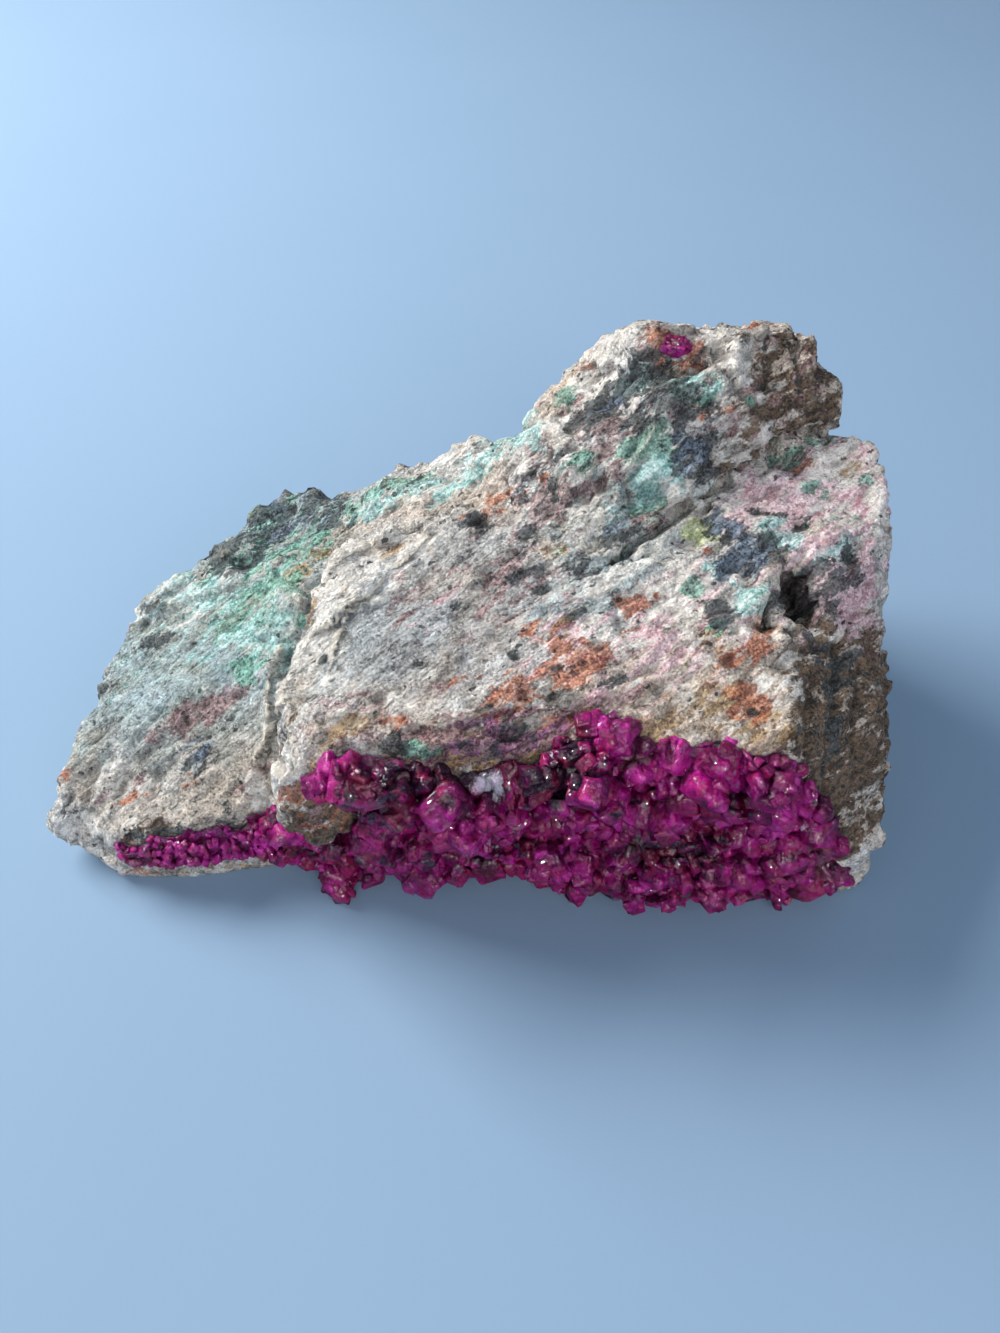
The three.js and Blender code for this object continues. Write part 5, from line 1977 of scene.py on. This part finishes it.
@dataclass
class CrystalDruse:
    """The crust of crystals on the front wall.

    The sizes are crystals' edges in millimetres, each with how often it is tried.
    """

    camera: SpecimenCamera
    finish: bpy.types.Material
    seed: int = 5
    sizes: tuple[float, ...] = (4.4, 3.7, 3.1, 2.6, 2.1, 1.7, 1.3, 1.0)
    tries: tuple[int, ...] = (500, 900, 1300, 1800, 2200, 2500, 2500, 2500)
    closeness: float = 0.64
    lean: float = 0.7
    steps: int = 2
    stepped_above: float = 2.2
    bed_depth: float = 0.7
    easing: int = 3
    fine_below: float = -20.0
    lowest: float = 0.3
    lone_root: float = 0.22
    lone_outlook: Triple = (0.0, -0.5, 0.3)
    root: float = 0.2
    outlook: Triple = (0.0, -0.5, 0.4)
    middle: Pixel = (560.0, 825.0)

    def build(self) -> Object:
        """Makes the piece and dresses it.

        Returns:
            The piece.
        """
        bm = merged_bmesh("crystal_druse")
        face = [vert for vert in bm.verts if vert.normal.y < 0.3]
        fine = [vert for vert in face if vert.co.x < self.fine_below]
        soften(bm, fine, self.easing)
        bm.normal_update()
        tree = BVHTree.FromBMesh(bm)
        for vert in face:
            vert.co -= vert.normal * self.bed_depth
            vert.co.z = max(vert.co.z, self.lowest)
        druse = object_from(bm, "crystal_druse_surface")
        # The bed between the crystals is mostly painted dark: painted shade in the gaps.
        for name, value in (("tint", 0.3), ("red", 0.3), ("sunk_shade", 0.7), ("root", 1.0)):
            write_attribute(druse.data, name, np.full(len(druse.data.vertices), value))
        crystals = self._lone() + self._grow(tree)
        CrystalMould().cast(crystals, druse)
        skin = RockSkin.of(druse.data)
        wander = 0.35 * Noise(71).cloud(skin.points / 1.6, 2)
        caster = Caster(self.camera, tree, self.middle)
        for cast, stains in DRUSE_STAINS.items():
            write_attribute(druse.data, cast.value, skin.patches(stains, caster, wander))
        dress(druse, self.finish)
        LOG.info("crystals on the druse: %d", len(crystals))
        return druse

    @staticmethod
    def _scale(x: float) -> float:
        """How large crystals may grow at a place along the front, from 0 to 1."""
        return 0.3 + 0.7 * float(eased(-31.0, -14.0, np.array(x)))

    def _lone(self) -> list[Crystal]:
        """Sets the crystals that stand out by themselves.

        Returns:
            The crystals.
        """
        rng = np.random.default_rng(self.seed + 1)
        caster = Caster(self.camera, tree_of("host_rock", "crystal_druse"))
        made = []
        for lone in LONE_CRYSTALS:
            spot = caster.spot((lone.x, lone.y))
            normal = Vector(spot.normal)
            outward = normal + Vector(self.lone_outlook) + Vector(rng.normal(size=3)) * 0.2
            made.append(
                Crystal(
                    at=Vector(spot.at) - normal * self.lone_root * lone.size,
                    pointing=outward.normalized(),
                    size=lone.size * 0.8,
                    spin=rng.random() * math.tau,
                    stretch=0.85,
                    tint=lone.tint,
                    red=0.0,
                    sides=tuple(0.8 + 0.4 * rng.random(3)),
                )
            )
        return made

    def _grow(self, tree: BVHTree) -> list[Crystal]:
        """Seeds crystals over the front of the crust, the largest first.

        Args:
            tree: The crust's surface, in millimetres.

        Returns:
            The crystals.
        """
        rng = np.random.default_rng(self.seed)
        low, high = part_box("crystal_druse")
        low, high = low / MM, high / MM
        grown: list[Crystal] = []
        centres = np.zeros((0, 3))
        radii = np.zeros(0)
        for size, tries in zip(self.sizes, self.tries):
            for _ in range(tries):
                x, z = rng.uniform(low.x, high.x), rng.uniform(low.z, high.z)
                spread = rng.normal(size=3)
                sides = 0.7 + 0.6 * rng.random(3)
                spin, stretch, tint, red = rng.random(4)
                start = Vector((x, low.y - 20.0, z))
                at, normal, _, _ = tree.ray_cast(start, Vector((0.0, 1.0, 0.0)))
                if at is None or normal.y > -0.1 or size > max(self.sizes) * self._scale(x):
                    continue
                here = np.array(at)
                own = size * (0.85 + 0.3 * stretch)
                if len(radii):
                    away = np.linalg.norm(centres - here, axis=1)
                    if np.any(away < self.closeness * (radii + own * 0.5)):
                        continue
                outward = (normal + Vector(self.outlook)).normalized()
                first = Crystal(
                    at=at - normal * self.root * own,
                    pointing=(outward + Vector(spread) * self.lean * 0.5).normalized(),
                    size=own * 0.82,
                    spin=spin * math.tau,
                    stretch=0.65 + 0.45 * stretch,
                    tint=tint,
                    red=red,
                    sunk_shade=0.3 * (size < 1.6),
                    sides=tuple(sides),
                )
                grown.append(first)
                if size > self.stepped_above:
                    grown.extend(self._steps(first, rng))
                centres = np.vstack([centres, here])
                radii = np.append(radii, own * 0.5)
        return grown

    def _steps(self, first: Crystal, rng: np.random.Generator) -> list[Crystal]:
        """Sets smaller crystals in much the same attitude down the sides of another.

        Args:
            first: The large crystal.
            rng: Draws their places.

        Returns:
            The smaller crystals.
        """
        made = []
        for _ in range(self.steps):
            aside = Vector(rng.normal(size=3))
            aside = (aside - aside.dot(first.pointing) * first.pointing).normalized()
            share = 0.4 + 0.35 * rng.random()
            tilt = Vector(rng.normal(size=3)) * 0.3
            made.append(
                replace(
                    first,
                    at=first.at + aside * first.size * 0.5 + first.pointing * 0.12 * first.size,
                    pointing=(first.pointing + tilt).normalized(),
                    size=first.size * share,
                    tint=min(1.0, max(0.0, first.tint + 0.5 * (rng.random() - 0.5))),
                    sides=tuple(0.75 + 0.5 * rng.random(3)),
                )
            )
        return made


@dataclass
class RidgeTuft:
    """The small second growth of crystals on the ridge."""

    finish: bpy.types.Material
    seed: int = 9
    count: int = 44
    buried: float = 0.3
    flattened: float = 0.75
    widened: float = 0.15

    def build(self) -> Object:
        """Makes the piece and dresses it.

        Returns:
            The piece.
        """
        bm = merged_bmesh("ridge_crystal_tuft")
        low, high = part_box("ridge_crystal_tuft")
        low, high = low / MM, high / MM
        front = low.y + self.buried * (high.y - low.y)
        for vert in bm.verts:
            vert.co.y = max(vert.co.y, front)
            vert.co.z = low.z + (vert.co.z - low.z) * self.flattened
            vert.co.x += (vert.co.x - (low.x + high.x) / 2.0) * self.widened
        tree = BVHTree.FromBMesh(bm)
        tuft = object_from(bm, "ridge_tuft_surface")
        # The tuft's bed takes a middling colour with some painted shade.
        for name in (*CrystalMould.LAYERS, "root"):
            write_attribute(tuft.data, name, np.full(len(tuft.data.vertices), 0.3))
        rng = np.random.default_rng(self.seed)
        crystals = []
        for _ in range(self.count * 4):
            x, y = rng.uniform(low.x, high.x), rng.uniform(front + 0.2, high.y)
            size, spin, tint = rng.random(3)
            at, normal, _, _ = tree.ray_cast(Vector((x, y, high.z + 5.0)), Vector((0, 0, -1)))
            if at is None or len(crystals) >= self.count:
                continue
            edge = 0.4 + 0.6 * size
            crystals.append(Crystal(at, normal, edge, spin * math.tau, 1.0, 0.8 + 0.3 * tint, 0.0))
        CrystalMould().cast(crystals, tuft)
        dress(tuft, self.finish)
        LOG.info("crystals on the tuft: %d", len(crystals))
        return tuft


# ---- the studio


@dataclass(frozen=True)
class Lamp:
    """A soft square light that faces the specimen, in metres and watts."""

    name: str
    place: Triple
    size: float
    power: float
    colour: Triple = (1.0, 1.0, 1.0)
    lights_dull: bool = True
    aim: Triple = (0.0, 0.0, 0.02)

    def hang(self) -> None:
        """Adds the light to the scene."""
        data = bpy.data.lights.new(self.name, "AREA")
        data.shape = "SQUARE"
        data.size = self.size
        data.energy = self.power
        data.color = self.colour
        light = bpy.data.objects.new(self.name, data)
        light.location = self.place
        towards = Vector(self.aim) - Vector(self.place)
        light.rotation_euler = towards.to_track_quat("-Z", "Y").to_euler()
        light.visible_diffuse = self.lights_dull
        bpy.context.scene.collection.objects.link(light)


@dataclass
class Studio:
    """The floor, the lights and the air around the specimen."""

    floor_size: float = 3.0
    sky: Colour = paint("a9c3de")
    sky_strength: float = 0.5
    diffuse_bounces: int = 3
    max_bounces: int = 6
    lamps: tuple[Lamp, ...] = (
        Lamp("window", (-0.42, 0.24, 0.42), 0.36, 6.5, (1.0, 0.98, 0.95)),
        Lamp("fill", (0.10, -0.60, 0.42), 0.6, 2.5, (1.0, 0.96, 0.95)),
        Lamp("glint", (0.16, -0.34, 0.30), 0.03, 1.8, lights_dull=False),
        Lamp("spark", (-0.22, -0.20, 0.40), 0.03, 1.8, lights_dull=False),
    )

    def build(self) -> None:
        """Sets the stage and the light."""
        self._floor()
        for lamp in self.lamps:
            lamp.hang()
        world = bpy.data.worlds.new("air")
        world.use_nodes = True
        air = world.node_tree.nodes["Background"]
        air.inputs["Color"].default_value = self.sky
        air.inputs["Strength"].default_value = self.sky_strength
        scene = bpy.context.scene
        scene.world = world
        scene.view_settings.view_transform = "Standard"
        scene.view_settings.look = "None"
        scene.cycles.use_denoising = True
        scene.cycles.diffuse_bounces = self.diffuse_bounces
        scene.cycles.max_bounces = self.max_bounces

    def _floor(self) -> None:
        """Lays the plain floor that the specimen stands on."""
        bm = bmesh.new()
        bmesh.ops.create_grid(bm, x_segments=2, y_segments=2, size=0.5 * self.floor_size / MM)
        floor = object_from(bm, "floor")
        dress(floor, PaperFinish().make())


def settle(piece: Object, node: str) -> None:
    """Lets a piece stand for its CAD node and ride with it.

    Args:
        piece: The finished piece.
        node: The CAD node that it hides.
    """
    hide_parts(node)
    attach(piece, BODY)


def main() -> None:
    """Builds the stage and the specimen in order, and reports each piece."""
    logging.basicConfig(level=logging.INFO)
    camera = SpecimenCamera()
    camera.make()
    Studio().build()
    crystal = CrystalFinish().make()
    for maker, node, slot in (
        (HostRock(camera), "host_rock", "host_rock"),
        (CrystalDruse(camera, crystal), "crystal_druse", "cobaltocalcite"),
        (RidgeTuft(crystal), "ridge_crystal_tuft", "cobaltocalcite"),
    ):
        piece = maker.build()
        settle(piece, node)
        LOG.info("%s, for %s: %d faces", piece.name, node, len(piece.data.polygons))
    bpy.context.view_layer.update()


if __name__ == "__main__":
    main()
